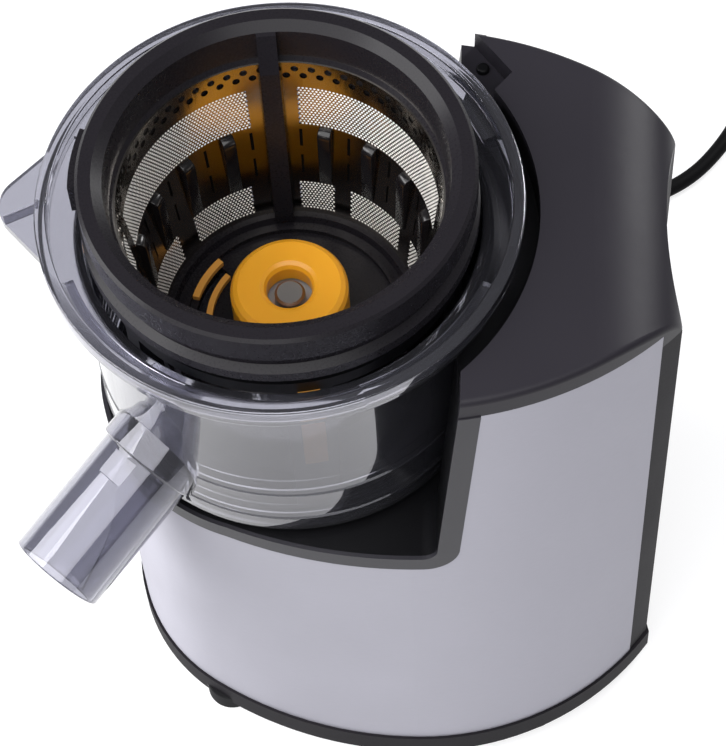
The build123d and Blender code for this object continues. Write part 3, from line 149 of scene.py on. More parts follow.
@dataclass(frozen=True)
class Finish:
    """A surface finish: a principled surface with fine grain in its roughness and its relief.

    Attributes:
        name: Common name of the material.
        colour: Main sRGB colour.
        roughness: Middle of the roughness range.
        spread: How far the roughness wanders to each side.
        grain_mm: Size of the grain.
        relief: Strength of the grain's bump.
        metallic: One for a metal.
        specular: Level of the surface reflection, a half for a bare smooth plastic.
    """

    name: str
    colour: str
    roughness: float = 0.4
    spread: float = 0.04
    grain_mm: float = 0.6
    relief: float = 0.05
    metallic: float = 0.0
    specular: float = 0.5

    def stretch(self) -> tuple[float, float, float]:
        """How much the grain is drawn out along each axis, as the scale of its coordinates."""
        return (1.0, 1.0, 1.0)

    def shader_settings(self) -> dict:
        """Further settings of the principled shader."""
        return {"Specular IOR Level": self.specular}

    def shader_links(self, tree: bpy.types.NodeTree) -> dict:
        """Further sockets that feed the principled shader, by the name of their input."""
        return {}

    def build(self) -> bpy.types.Material:
        """Make the material, or find it if it is already there.

        Returns:
            The material.
        """
        found = bpy.data.materials.get(self.name)
        if found:
            return found
        material = bpy.data.materials.new(self.name)
        material.use_nodes = True
        tree = material.node_tree
        tree.nodes.clear()
        place = add_node(tree, "ShaderNodeTexCoord")
        mapping = add_node(
            tree,
            "ShaderNodeMapping",
            {"Scale": self.stretch()},
            {"Vector": place.outputs["Object"]},
        )
        grain = add_node(
            tree,
            "ShaderNodeTexNoise",
            {"Scale": 1.0 / (self.grain_mm * MM), "Detail": 3.0, "Roughness": 0.6},
            {"Vector": mapping.outputs["Vector"]},
        )
        cloud = add_node(
            tree,
            "ShaderNodeTexNoise",
            {"Scale": CLOUD_SCALE, "Detail": 2.0},
            {"Vector": place.outputs["Object"]},
        )
        mixed = add_node(
            tree,
            "ShaderNodeMix",
            {"data_type": "FLOAT", 0: CLOUD_SHARE},
            {2: grain.outputs[0], 3: cloud.outputs[0]},
        )
        rough = add_node(
            tree,
            "ShaderNodeMapRange",
            {
                "From Min": 0.3,
                "From Max": 0.7,
                "To Min": max(0.0, self.roughness - self.spread),
                "To Max": self.roughness + self.spread,
            },
            {"Value": mixed.outputs[0]},
        )
        tint = add_node(
            tree,
            "ShaderNodeMix",
            {"data_type": "RGBA", 6: linear(self.colour), 7: self.worn_colour()},
        )
        wander = add_node(
            tree,
            "ShaderNodeMapRange",
            {"From Min": 0.35, "From Max": 0.75, "To Min": 0.0, "To Max": TINT_SHARE},
            {"Value": cloud.outputs[0]},
        )
        tree.links.new(wander.outputs[0], tint.inputs[0])
        bump = add_node(
            tree,
            "ShaderNodeBump",
            {"Strength": self.relief, "Distance": BUMP_DEPTH},
            {"Height": grain.outputs[0]},
        )
        shader = add_node(
            tree,
            "ShaderNodeBsdfPrincipled",
            {"Metallic": self.metallic, **self.shader_settings()},
            {
                "Base Color": tint.outputs[2],
                "Roughness": rough.outputs[0],
                "Normal": bump.outputs["Normal"],
                **self.shader_links(tree),
            },
        )
        add_node(tree, "ShaderNodeOutputMaterial", {}, {"Surface": shader.outputs[0]})
        material.diffuse_color = linear(self.colour)
        return material

    def worn_colour(self) -> tuple[float, float, float, float]:
        """The second colour, a little lighter, that shows in soft clouds."""
        *shades, alpha = linear(self.colour)
        red, green, blue = (min(1.0, shade * WORN_LIFT) for shade in shades)
        return (red, green, blue, alpha)


@dataclass(frozen=True)
class BrushedSteel(Finish):
    """Stainless sheet brushed along its length, which draws reflections out up and down.

    Attributes:
        anisotropy: How far highlights are drawn out.
        level_scale: Scale of the grain's level coordinates; under one, the grain is drawn out.
    """

    anisotropy: float = 0.8
    level_scale: float = 0.08

    def stretch(self) -> tuple[float, float, float]:
        """Long level scratches: the grain is 12.5 times as long as it is high."""
        return (self.level_scale, self.level_scale, 1.0)

    def shader_settings(self) -> dict:
        """Highlights drawn out across the scratches."""
        return {"Anisotropic": self.anisotropy, "Anisotropic Rotation": 0.25}

    def shader_links(self, tree: bpy.types.NodeTree) -> dict:
        """The scratches run level round the wrap."""
        tangent = add_node(tree, "ShaderNodeTangent", {"direction_type": "RADIAL", "axis": "Z"})
        return {"Tangent": tangent.outputs[0]}


@dataclass(frozen=True)
class ClearPlastic(Finish):
    """Injection-moulded clear copolyester, faintly smoky, with a polished surface.

    The main colour greys the light that goes through. The little that doesn't go through makes a
    faint haze, and reflections come back slightly lavender.

    Attributes:
        ior: Index of refraction of the body and its skin.
        clearness: Share of the light that goes through.
        skin: Weight of the polished skin.
        sheen: Tint of the reflections.
    """

    ior: float = 1.58
    clearness: float = 0.95
    skin: float = 0.8
    sheen: str = "#d2d1e2"

    def shader_settings(self) -> dict:
        """Most of the light goes through, and the polished skin mirrors the table."""
        return {
            "Transmission Weight": self.clearness,
            "IOR": self.ior,
            "Specular Tint": linear(self.sheen),
            "Coat Weight": self.skin,
            "Coat IOR": self.ior,
            "Coat Roughness": self.roughness,
        }


@dataclass(frozen=True)
class SoftPlastic(Finish):
    """Dyed plastic or silicone with a little light scattered under the surface."""

    scatter: float = 0.15

    def shader_settings(self) -> dict:
        """A soft glow under the skin."""
        return {
            "Specular IOR Level": self.specular,
            "Subsurface Weight": self.scatter,
            "Subsurface Scale": 0.004,
            "Subsurface Radius": (1.0, 0.5, 0.2),
        }


# Level brushing draws highlights out into soft upright bands.
STEEL = BrushedSteel("brushed_stainless_steel", "#a9a8b1", 0.48, 0.05, 0.25, 0.06, 1.0)
# Nearly a mirror, so it takes on the colours round it.
POLISHED = Finish("polished_stainless_steel", "#a8a29c", 0.16, 0.03, 0.8, 0.02, 1.0)
# Painted light: pale hole floors stand in for the light that shines through the fine holes, so that
# they show as light dots from inside.
PAINTED_HOLE_LIGHT = Finish("painted_light_hole", "#f4f2ee", 0.75, 0.05, 0.3, 0.02)
# A dull metal gleam.
TURNED = Finish("turned_steel", "#a5a2a0", 0.34, 0.06, 0.4, 0.05, 1.0)
# A fine moulded texture breaks the gloss into a soft sheen.
BLACK = Finish("black_abs_fine_texture", "#26242a", 0.40, 0.05, 0.5, 0.06, 0.0, 0.18)
# Flatter than the cover.
MATT_BLACK = Finish("black_abs_matt", "#1d1b1f", 0.55, 0.05, 0.5, 0.06, 0.0, 0.10)
# A smooth moulding with clear highlights.
SATIN_BLACK = Finish("black_abs_satin", "#1c1a1e", 0.28, 0.03, 0.8, 0.01, 0.0, 0.18)
# Sharp bright glints on black.
GLOSS_BLACK = Finish("black_polyamide_gloss", "#151315", 0.20, 0.03, 0.8, 0.02, 0.0, 0.5)
# Painted shade: dark floors stand in for the shade inside open slots and outer holes, so that they
# look open.
SHADED = Finish("shaded_slot", "#0c0a0a", 0.60, 0.05, 0.5, 0.02, 0.0, 0.05)
# Deep black with a dim sheen.
LINER_BLACK = Finish("black_abs_liner", "#0f0f11", 0.36, 0.05, 0.6, 0.04, 0.0, 0.12)
# A shade lighter than the liner, which gives the bay an edge.
GREY = Finish("dark_grey_abs", "#2c2b30", 0.36, 0.04, 0.6, 0.03, 0.0, 0.30)
# Smoky walls with bright edges.
CLEAR = ClearPlastic("clear_copolyester", "#a4a4b0", 0.03, 0.01, 2.0, 0.0)
# Warm and saturated, with a soft glow under the skin.
ORANGE = SoftPlastic("orange_polypropylene", "#f6ab24", 0.34, 0.05, 0.7, 0.03, 0.0, 0.5, 0.12)
# A dull orange that glows a little.
SILICONE = SoftPlastic("orange_silicone", "#ee9a38", 0.55, 0.06, 0.6, 0.06, 0.0, 0.4, 0.20)
# Milky.
PALE_SILICONE = SoftPlastic("clear_silicone", "#b9b9bd", 0.5, 0.05, 0.6, 0.05, 0.0, 0.4, 0.30)
# Dull and a little rough.
RUBBER = Finish("black_rubber", "#18181a", 0.68, 0.06, 0.5, 0.12, 0.0, 0.15)
# Plain black without gloss.
PVC = Finish("black_pvc_cord_sheath", "#0f0f10", 0.55, 0.05, 0.4, 0.05, 0.0, 0.06)
# Off-white and slightly waxy.
NYLON = SoftPlastic("natural_nylon", "#d9d5c6", 0.5, 0.05, 0.6, 0.05, 0.0, 0.4, 0.15)
# Brown metal with a coarse grain.
BRONZE = Finish("sintered_bronze", "#8c6a3a", 0.45, 0.08, 0.3, 0.12, 1.0)
# Red-brown metal with a sheen.
COPPER = Finish("enamelled_copper", "#9a5226", 0.35, 0.08, 0.5, 0.15, 1.0)
# Dark green with a slight sheen.
LAMINATE = Finish("green_board_laminate", "#1d4a2a", 0.45, 0.05, 0.8, 0.03)


# ---- Shared making tools ----


def dress(piece: Piece, finish: Finish) -> None:
    """Give every slot of a piece one finish."""
    material = finish.build()
    if not piece.material_slots:
        piece.data.materials.append(material)
    for place in piece.material_slots:
        place.material = material


def deselect() -> None:
    """Leave nothing selected."""
    for piece in bpy.context.view_layer.objects:
        piece.select_set(False)


def activate(piece: Piece) -> None:
    """Make one piece the only selected and the active one."""
    deselect()
    piece.select_set(True)
    bpy.context.view_layer.objects.active = piece


def smooth(piece: Piece, degrees: float = 35.0) -> None:
    """Shade a piece smooth, with edges sharper than an angle kept crisp."""
    activate(piece)
    bpy.ops.object.shade_smooth_by_angle(angle=math.radians(degrees))


def apply_modifier(piece: Piece, kind: str, **settings: object) -> None:
    """Add a modifier with its settings and apply it at once."""
    activate(piece)
    modifier = piece.modifiers.new(kind.lower(), kind)
    for key, value in settings.items():
        setattr(modifier, key, value)
    bpy.ops.object.modifier_apply(modifier=modifier.name)


def combine(piece: Piece, tool: Piece, operation: str, **settings: object) -> None:
    """Join or cut a piece with a tool by an exact Boolean, and remove the tool."""
    apply_modifier(piece, "BOOLEAN", object=tool, operation=operation, solver="EXACT", **settings)
    bpy.data.objects.remove(tool, do_unlink=True)


def recalculate(piece: Piece, distance: float = MERGE_CUT) -> None:
    """Merge doubled points and turn the faces outwards."""
    activate(piece)
    bpy.ops.object.mode_set(mode="EDIT")
    bpy.ops.mesh.select_all(action="SELECT")
    bpy.ops.mesh.remove_doubles(threshold=distance)
    bpy.ops.mesh.normals_make_consistent(inside=False)
    bpy.ops.object.mode_set(mode="OBJECT")


def join(pieces: list[Piece], name: str) -> Piece:
    """Join pieces into the first one.

    Args:
        pieces: Mesh objects to join.
        name: Name of the joined piece.

    Returns:
        The joined piece.
    """
    activate(pieces[0])
    for piece in pieces:
        piece.select_set(True)
    bpy.ops.object.join()
    pieces[0].name = name
    pieces[0].data.name = name
    return pieces[0]


def spin_profile(
    name: str,
    profile: list[tuple[float, float]],
    start: float = 0.0,
    span: float = 360.0,
    step: float = 2.0,
) -> Piece:
    """Turn a closed profile about the drive axis.

    Args:
        name: Name of the piece.
        profile: Corners as (radius, height) in millimetres, round the section.
        start: Turn where it begins, in degrees.
        span: How far it goes round.
        step: Degrees between two stations.

    Returns:
        The turned piece, a closed ring or a closed sector, with its place in its mesh.
    """
    deselect()
    bpy.ops.mesh.primitive_circle_add(vertices=len(profile), radius=MM, fill_type="NGON")
    piece = bpy.context.object
    piece.name = name
    for vertex, (radius, height) in zip(piece.data.vertices, profile):
        vertex.co = polar(radius, start, height)
    full = span >= 360
    bpy.ops.object.mode_set(mode="EDIT")
    bpy.ops.mesh.select_all(action="SELECT")
    if full:
        bpy.ops.mesh.delete(type="ONLY_FACE")
        bpy.ops.mesh.select_all(action="SELECT")
    bpy.ops.mesh.spin(
        steps=max(2, round(span / step)),
        angle=math.radians(span),
        center=spot(0, 0, 0),
        axis=(0, 0, -1),
        use_auto_merge=full,
    )
    bpy.ops.object.mode_set(mode="OBJECT")
    recalculate(piece, MERGE_SPUN)
    return piece


def round_outline(radius: float, height: float, step: float) -> list[Vector]:
    """Corners in metres of a circle about the drive axis, with a step in degrees between them."""
    return [polar(radius, index * step, height) for index in range(round(360 / step))]


def extrude_outline(name: str, outline: list[Vector], push: Vector) -> Piece:
    """Make a plate from a flat outline.

    Args:
        name: Name of the plate.
        outline: Corners in metres, round the plate.
        push: Which way and how far it gains its thickness, in metres.

    Returns:
        The plate, closed, with its place in its mesh.
    """
    deselect()
    bpy.ops.mesh.primitive_circle_add(vertices=len(outline), radius=MM, fill_type="NGON")
    piece = bpy.context.object
    piece.name = name
    for vertex, place in zip(piece.data.vertices, outline):
        vertex.co = place
    bpy.ops.object.mode_set(mode="EDIT")
    bpy.ops.mesh.select_all(action="SELECT")
    bpy.ops.mesh.extrude_region_move(TRANSFORM_OT_translate={"value": push})
    bpy.ops.object.mode_set(mode="OBJECT")
    recalculate(piece)
    return piece


def round_corner(
    corner: tuple[float, float],
    before: tuple[float, float],
    after: tuple[float, float],
    reach: float,
    count: int = 4,
) -> list[tuple[float, float]]:
    """Points of a rounded corner of a profile.

    Args:
        corner: The sharp corner.
        before: Neighbour before it.
        after: Neighbour after it.
        reach: How far from the corner the round begins.
        count: Number of steps in it.

    Returns:
        The points that take the corner's place.
    """
    tip = Vector(corner)
    start = tip + (Vector(before) - tip).normalized() * reach
    end = tip + (Vector(after) - tip).normalized() * reach
    points = []
    for index in range(count + 1):
        share = index / count
        point = start * (1 - share) ** 2 + tip * 2 * share * (1 - share) + end * share**2
        points.append((point.x, point.y))
    return points


def rounded(profile: list[tuple[float, float, float]], count: int = 4) -> list[tuple[float, float]]:
    """A closed profile with each corner rounded by its own reach, the third number."""
    points = []
    for index, (x, y, reach) in enumerate(profile):
        before = profile[index - 1][:2]
        after = profile[(index + 1) % len(profile)][:2]
        points += round_corner((x, y), before, after, reach, count) if reach else [(x, y)]
    return points


# ---- Base ----


@dataclass
class Base:
    """Motor base: pan, steel wrap, top cover, end panel, bay parts, drive and electrics."""

    finishes: ClassVar[dict[str, Finish]] = {
        "steel_wrap": STEEL,
        "top_cover": BLACK,
        "end_panel": MATT_BLACK,
        "base_pan": MATT_BLACK,
        "body_shell": LINER_BLACK,
        "bay_liner": LINER_BLACK,
        "bay_trim": GREY,
        "bay_seal": RUBBER,
        "foot_1": RUBBER,
        "foot_2": RUBBER,
        "foot_3": RUBBER,
        "foot_4": RUBBER,
        "pan_screws": TURNED,
        "motor_can": TURNED,
        "motor_stator": COPPER,
        "motor_rotor": TURNED,
        "motor_pinion": TURNED,
        "cooling_fan": NYLON,
        "gearbox_case": NYLON,
        "gearbox_cover": NYLON,
        "case_screws": TURNED,
        "idler_pin": TURNED,
        "idler_gear": NYLON,
        "output_gear": TURNED,
        "drive_shaft": TURNED,
        "shaft_bush": BRONZE,
        "control_board": LAMINATE,
        "board_parts": SATIN_BLACK,
        "board_screws": TURNED,
        "switch_body": SATIN_BLACK,
        "switch_rocker": SATIN_BLACK,
        "lid_switch": SATIN_BLACK,
        "lid_rod": LINER_BLACK,
    }

    def dress(self, nodes: dict[str, Piece]) -> None:
        """Give each node of the base its finish."""
        for name, finish in self.finishes.items():
            dress(nodes[name], finish)
        LOG.info("base dressed: %d nodes", len(self.finishes))


# ---- Bowl ----


@dataclass
class Bowl:
    """Clear bowl, moulded in one with its outlet tube, and its seal.

    Attributes:
        section: Radius, height and reach of the rounding of each corner of the section.
        ledge: Radius, height and reach of the rounding of each corner of a lid ledge.
        ledge_turns: Where the middles of the ledges stand.
        ledge_span: How far a ledge goes round.
        beak: Flat outline of the pouring beak, with the reach of each corner's rounding.
        beak_heights: Lower and upper face of the beak.
        keel: Ends of the thin rib under the beak, from its nose back to the rim.
        keel_heights: Lower and upper edge of the rib.
        keel_gauge: Thickness of the rib.
        tube: Radius, distance from the drive axis and rounding of each corner of the tube.
        tube_root: Radius that the tube starts from, inside the bowl's wall.
        core: Lower and upper end of the cutter that keeps the tube out of the bowl.
        bore: Radius, start and end of the tube's bore, measured along it.
        recess: Start, end, half width and depth of the pocket on top of the tube.
        bore_height: Height where the tube's middle line meets the drive axis.
        bore_turn: Which way the tube points, in degrees.
        bore_slope: How steeply it falls, in degrees.
        tube_step: Degrees between two stations round the tube.
        shell_step: Degrees between two stations round the bowl.
    """

    section: tuple = (
        (7.0, 149.0, 0.0),
        (59.0, 149.0, 1.5),
        (62.5, 152.5, 1.5),
        (62.5, 160.2, 0.3),
        (62.9, 160.9, 0.3),
        (62.5, 161.6, 0.3),
        (62.5, 175.2, 0.3),
        (62.9, 175.9, 0.3),
        (62.5, 176.6, 0.3),
        (62.5, 233.0, 1.5),
        (71.8, 236.0, 0.9),
        (71.8, 240.0, 0.4),
        (73.0, 240.0, 0.5),
        (73.0, 246.0, 0.7),
        (69.2, 246.0, 0.7),
        (69.2, 238.5, 1.0),
        (60.0, 235.5, 1.5),
        (60.0, 152.5, 2.0),
        (9.5, 152.5, 1.0),
        (9.5, 186.0, 0.5),
        (7.0, 186.0, 0.5),
    )
    ledge: tuple = ((65.0, 238.0, 0.5), (70.2, 238.0, 0.0), (70.2, 240.5, 0.0), (65.0, 240.5, 0.5))
    ledge_turns: tuple[float, ...] = (-135.0, -45.0, 45.0, 135.0)
    ledge_span: float = 45.0
    beak: tuple = ((-70.5, 19.0, 0.0), (-70.5, -19.0, 0.0), (-83.9, -4.5, 4.0), (-83.9, 4.5, 4.0))
    beak_heights: tuple[float, float] = (240.05, 243.0)
    keel: tuple = ((-82.6, -3.6), (-72.2, 1.6))
    keel_heights: tuple[float, float] = (236.5, 240.5)
    keel_gauge: float = 1.0
    tube: tuple = (
        (5.0, 40.0, 0.0),
        (17.0, 40.0, 0.0),
        (17.0, 70.0, 0.7),
        (15.5, 70.0, 0.5),
        (15.5, 114.5, 0.7),
        (5.0, 114.5, 0.0),
    )
    tube_root: float = 61.2
    core: tuple[float, float] = (100.0, 260.0)
    bore: tuple[float, float, float] = (13.3, 44.0, 130.0)
    recess: tuple[float, float, float, float] = (71.5, 80.0, 4.5, 0.9)
    bore_height: float = 195.0
    bore_turn: float = -133.0
    bore_slope: float = 22.0
    tube_step: float = 3.75
    shell_step: float = 2.25

    def course(self) -> Vector:
        """Which way the outlet tube runs, as a unit vector."""
        swing, fall = math.radians(self.bore_turn), math.radians(self.bore_slope)
        return Vector(
            (math.cos(swing) * math.cos(fall), math.sin(swing) * math.cos(fall), -math.sin(fall))
        )

    def lay(self, piece: Piece) -> Piece:
        """Move a piece made about the drive axis so that it lies along the tube.

        Args:
            piece: Piece whose height is the distance along the tube.

        Returns:
            The same piece, moved in its mesh.
        """
        turn = self.course().to_track_quat("Z", "Y").to_matrix().to_4x4()
        place = Matrix.Translation(spot(0, 0, self.bore_height))
        piece.data.transform(place @ turn @ Matrix.Translation(-spot(0, 0, 0)))
        return piece

    def build_cutter(self) -> Piece:
        """Make the round cutter for the tube's bore."""
        radius, start, end = self.bore
        outline = round_outline(radius, start, self.tube_step)
        cutter = extrude_outline("cutter", outline, Vector((0, 0, (end - start) * MM)))
        return self.lay(cutter)

    def build_recess(self) -> Piece:
        """Make the cutter for the pocket on top of the tube."""
        start, end, half, depth = self.recess
        tube_radius = self.tube[4][0]
        course = self.course()
        up = (Vector((0, 0, 1)) - course * course.z).normalized()
        across = course.cross(up) * half * MM
        floor = spot(0, 0, self.bore_height) + up * (tube_radius - depth) * MM
        near, far = floor + course * start * MM, floor + course * end * MM
        outline = [near - across, far - across, far + across, near + across]
        return extrude_outline("recess", outline, up * CUTTER_LENGTH * MM)

    def build_tube(self) -> Piece:
        """Turn the tube about its own middle line and cut its root to the bowl's wall."""
        tube = self.lay(spin_profile("tube", rounded(list(self.tube)), step=self.tube_step))
        low, high = self.core
        outline = round_outline(self.tube_root, low, self.shell_step)
        core = extrude_outline("core", outline, Vector((0, 0, (high - low) * MM)))
        combine(tube, core, "DIFFERENCE")
        return tube

    def build_additions(self) -> list[Piece]:
        """Make the ledges, the beak and its rib, which stand on the turned shell."""
        corners = rounded(list(self.ledge), 2)
        pieces = [
            spin_profile("ledge", corners, turn - self.ledge_span / 2, self.ledge_span)
            for turn in self.ledge_turns
        ]
        low, high = self.beak_heights
        outline = [spot(x, y, low) for x, y in rounded(list(self.beak), 6)]
        pieces.append(extrude_outline("beak", outline, Vector((0, 0, (high - low) * MM))))
        nose, root = (spot(x, y, 0) for x, y in self.keel)
        across = (root - nose).cross(Vector((0, 0, 1))).normalized() * self.keel_gauge / 2 * MM
        low, high = (Vector((0, 0, height * MM)) for height in self.keel_heights)
        near, far = nose - across, root - across
        side = [near + low, far + low, far + high, near + high]
        pieces.append(extrude_outline("keel", side, 2 * across))
        return pieces

    def build_shell(self) -> Piece:
        """Turn the section, weld the tube on, open it and weld the additions on.

        Returns:
            The clear shell.
        """
        shell = spin_profile("clear_bowl", rounded(list(self.section)), step=self.shell_step)
        combine(shell, self.build_tube(), "UNION")
        for cutter in (self.build_cutter(), self.build_recess()):
            combine(shell, cutter, "DIFFERENCE")
        for addition in self.build_additions():
            combine(shell, addition, "UNION")
        recalculate(shell)
        smooth(shell, 30)
        dress(shell, CLEAR)
        return shell

    def build(self, nodes: dict[str, Piece]) -> None:
        """Make the shell and give the bowl's seal its finish."""
        dress(nodes["bowl_seal"], PALE_SILICONE)
        shell = self.build_shell()
        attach(shell, "bowl")
        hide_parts("bowl", "bowl_sole", "bowl_spigot", "bowl_rim", "outlet_tube")
        LOG.info("bowl built: one clear shell of %d faces", len(shell.data.polygons))


# ---- Wiper basket ----


@dataclass
class Wiper:
    """Basket that turns round the strainer, with its silicone blades."""

    def dress(self, nodes: dict[str, Piece]) -> None:
        """Give each node of the wiper its finish."""
        dress(nodes["brush_frame"], LINER_BLACK)
        for number in (1, 2, 3):
            dress(nodes[f"brush_blade_{number}"], SILICONE)
        LOG.info("wiper dressed")


# ---- Strainer ----


class Row(Enum):
    """The strainer's two rows of perforated panels."""

    UPPER = "upper"
    LOWER = "lower"


class Side(Enum):
    """The two skins of the strainer's sheet, by which way they look from its middle."""

    INNER = -1
    OUTER = 1


@dataclass
class Strainer:
    """Steel strainer in its black frame, with the orange hub cap.

    Attributes:
        low: Height of the sheet's lower edge.
        high: Height of its upper edge.
        low_radius: Inside radius at the lower edge.
        high_radius: Inside radius at the upper edge.
        gauge: Thickness of the sheet.
        pitch: Distance between the fine holes.
        fine_radius: Radius of a fine hole.
        hole_draft: How much less the radius of a fine hole is at its floor.
        hole_depth: Depth of a fine hole.
        sink: How far the perforated skins lie below the sheet's faces.
        upper: Heights and turns of the upper perforated panels.
        lower: Heights and turns of the lower perforated panels.
        drill_count: Number of round holes in a row.
        drill_radius: Radius of a round hole.
        drill_rows: Shift in holes and height of each row.
        places: Number of places for teeth, with slots halfway between them.
        tooth_turn: Turn of the rear rib, which takes the first tooth's place.
        slot_sizes: Lower end, upper end and width of each slot.
        tooth_heights: Lower and upper end of a tooth.
        tooth_size: How far a tooth stands in, its width and the radius of its knee.
        tooth_root: How far its back lies in the sheet.
        tooth_toe: How far in and how high its lower end begins.
        tooth_round: Rounding of its edges.
    """

    low: float = 178.0
    high: float = 247.5
    low_radius: float = 40.4
    high_radius: float = 48.6
    gauge: float = 0.6
    pitch: float = 1.2
    fine_radius: float = 0.36
    hole_draft: float = 0.10
    hole_depth: float = 0.25
    sink: float = 0.04
    upper: tuple = ((220.0, 237.0), ((7.5, 86.5), (105.5, 180.5), (187, 262), (280, 352)))
    lower: tuple = (
        (180.0, 193.0),
        (
            *((14, 28), (36, 65), (72, 88), (109, 139), (149, 177)),
            *((turn, turn + 28) for turn in range(187, 336, 37)),
        ),
    )
    drill_count: int = 58
    drill_radius: float = 1.2
    drill_rows: tuple = ((0.0, 244.9), (0.5, 242.0))
    places: int = 18
    tooth_turn: float = 96.0
    slot_sizes: tuple = ((210.0, 218.0, 1.0), (197.5, 206.0, 0.8))
    tooth_heights: tuple[float, float] = (193.0, 219.0)
    tooth_size: tuple[float, float, float] = (3.0, 4.2, 2.6)
    tooth_root: float = 0.2
    tooth_toe: tuple[float, float] = (0.6, 1.0)
    tooth_round: float = 0.7
    finishes: ClassVar[dict[str, Finish]] = {
        "strainer_ring": SATIN_BLACK,
        "strainer_frame": SATIN_BLACK,
        "strainer_plate": SATIN_BLACK,
        "strainer_post": SATIN_BLACK,
        "rear_rib": SATIN_BLACK,
        "pulp_seal": SILICONE,
        "hub_cap": ORANGE,
    }

    def radius_at(self, height: float) -> float:
        """Inside radius of the sheet at a height."""
        share = (height - self.low) / (self.high - self.low)
        return self.low_radius + (self.high_radius - self.low_radius) * share

    def band(
        self, name: str, low: float, high: float, start: float = 0.0, span: float = 360.0
    ) -> Piece:
        """Turn a strip of the sheet's section about the drive axis.

        Args:
            name: Name of the strip.
            low: Height of its lower edge.
            high: Height of its upper edge.
            start: Turn where it begins, in degrees.
            span: How far it goes round.

        Returns:
            The strip, a closed ring or a closed sector.
        """
        corners = [
            (self.radius_at(low), low),
            (self.radius_at(low) + self.gauge, low),
            (self.radius_at(high) + self.gauge, high),
            (self.radius_at(high), high),
        ]
        piece = spin_profile(name, corners, start, span)
        dress(piece, POLISHED)
        return piece

    def cut(self, piece: Piece, cutters: list[Piece]) -> None:
        """Cut a set of pieces out of one piece, which takes their finish where they cut it."""
        combine(piece, join(cutters, "cutters"), "DIFFERENCE", material_mode="TRANSFER")

    def drill(self, turn: float, height: float) -> Piece:
        """A round cutter that points at the drive axis, at a turn and a height."""
        deselect()
        bpy.ops.mesh.primitive_cylinder_add(
            vertices=20,
            radius=self.drill_radius * MM,
            depth=CUTTER_LENGTH * MM,
            location=polar(self.radius_at(height), turn, height),
            rotation=(0, math.radians(90), math.radians(turn)),
        )
        return bpy.context.object

    def slot(self, turn: float, low: float, high: float, width: float) -> Piece:
        """A flat cutter for an upright slot whose dark floor is painted shade, at a turn, between
        two heights.
        """
        middle = (low + high) / 2
        reach, depth = 5.0, 0.4
        lean = math.atan2(self.high_radius - self.low_radius, self.high - self.low)
        deselect()
        bpy.ops.mesh.primitive_cube_add(
            size=1.0,
            location=polar(self.radius_at(middle) + depth - reach / 2, turn, middle),
            rotation=(0, lean, math.radians(turn)),
            scale=(reach * MM, width * MM, (high - low) * MM),
        )
        cutter = bpy.context.object
        # The slot's floor takes this painted shade.
        dress(cutter, SHADED)
        return cutter

    def build_sheet(self) -> Piece:
        """Make the sheet: bands and posts round the perforated panels, drilled and slotted.

        Returns:
            The sheet.
        """
        crown = self.band("crown", self.upper[0][1], self.high)
        step = 360 / self.drill_count
        drills = [
            self.drill(step * (index + shift), height)
            for index in range(self.drill_count)
            for shift, height in self.drill_rows
        ]
        self.cut(crown, drills)
        waist = self.band("waist", self.lower[0][1], self.upper[0][0])
        step = 360 / self.places
        slots = [
            self.slot(self.tooth_turn - step / 2 + step * index, *size)
            for index in range(self.places)
            for size in self.slot_sizes
        ]
        self.cut(waist, slots)
        parts = [crown, waist, self.band("foot", self.low, self.lower[0][0])]
        for (low, high), panels in (self.upper, self.lower):
            for index, (_, end) in enumerate(panels):
                start = panels[(index + 1) % len(panels)][0]
                parts.append(self.band("post", low, high, end, (start - end) % 360))
        sheet = join(parts, "strainer_sheet")
        smooth(sheet, 30)
        return sheet

    def build_cell(self, hole: bpy.types.Material) -> Piece:
        """Make one flat six-sided cell, in millimetres, with a hole sunk in its middle.

        Args:
            hole: Material of the hole's wall and floor.

        Returns:
            The cell.
        """
        deselect()
        bpy.ops.mesh.primitive_circle_add(
            vertices=6, radius=self.pitch / math.sqrt(3), fill_type="NGON"
        )
        cell = bpy.context.object
        bpy.ops.object.mode_set(mode="EDIT")
        bpy.ops.mesh.select_all(action="SELECT")
        bpy.ops.mesh.inset(thickness=self.pitch / 2 - self.fine_radius, depth=0)
        bpy.ops.mesh.inset(thickness=self.hole_draft, depth=-self.hole_depth)
        bpy.ops.object.mode_set(mode="OBJECT")
        cell.data.materials.append(POLISHED.build())
        cell.data.materials.append(hole)
        for face in cell.data.polygons:
            if face.center.z < -self.hole_depth / 4:
                face.material_index = 1
        return cell

    def build_panel(self, row: Row, side: Side) -> Piece:
        """Make a row of perforated panels: one six-sided cell, repeated, then bent to the cone.

        Args:
            row: Which row of panels.
            side: Which side of the sheet it is the skin of.

        Returns:
            The row of panels.
        """
        heights, panels = self.upper if row is Row.UPPER else self.lower
        name = f"strainer_mesh_{row.value}_{side.name.lower()}"
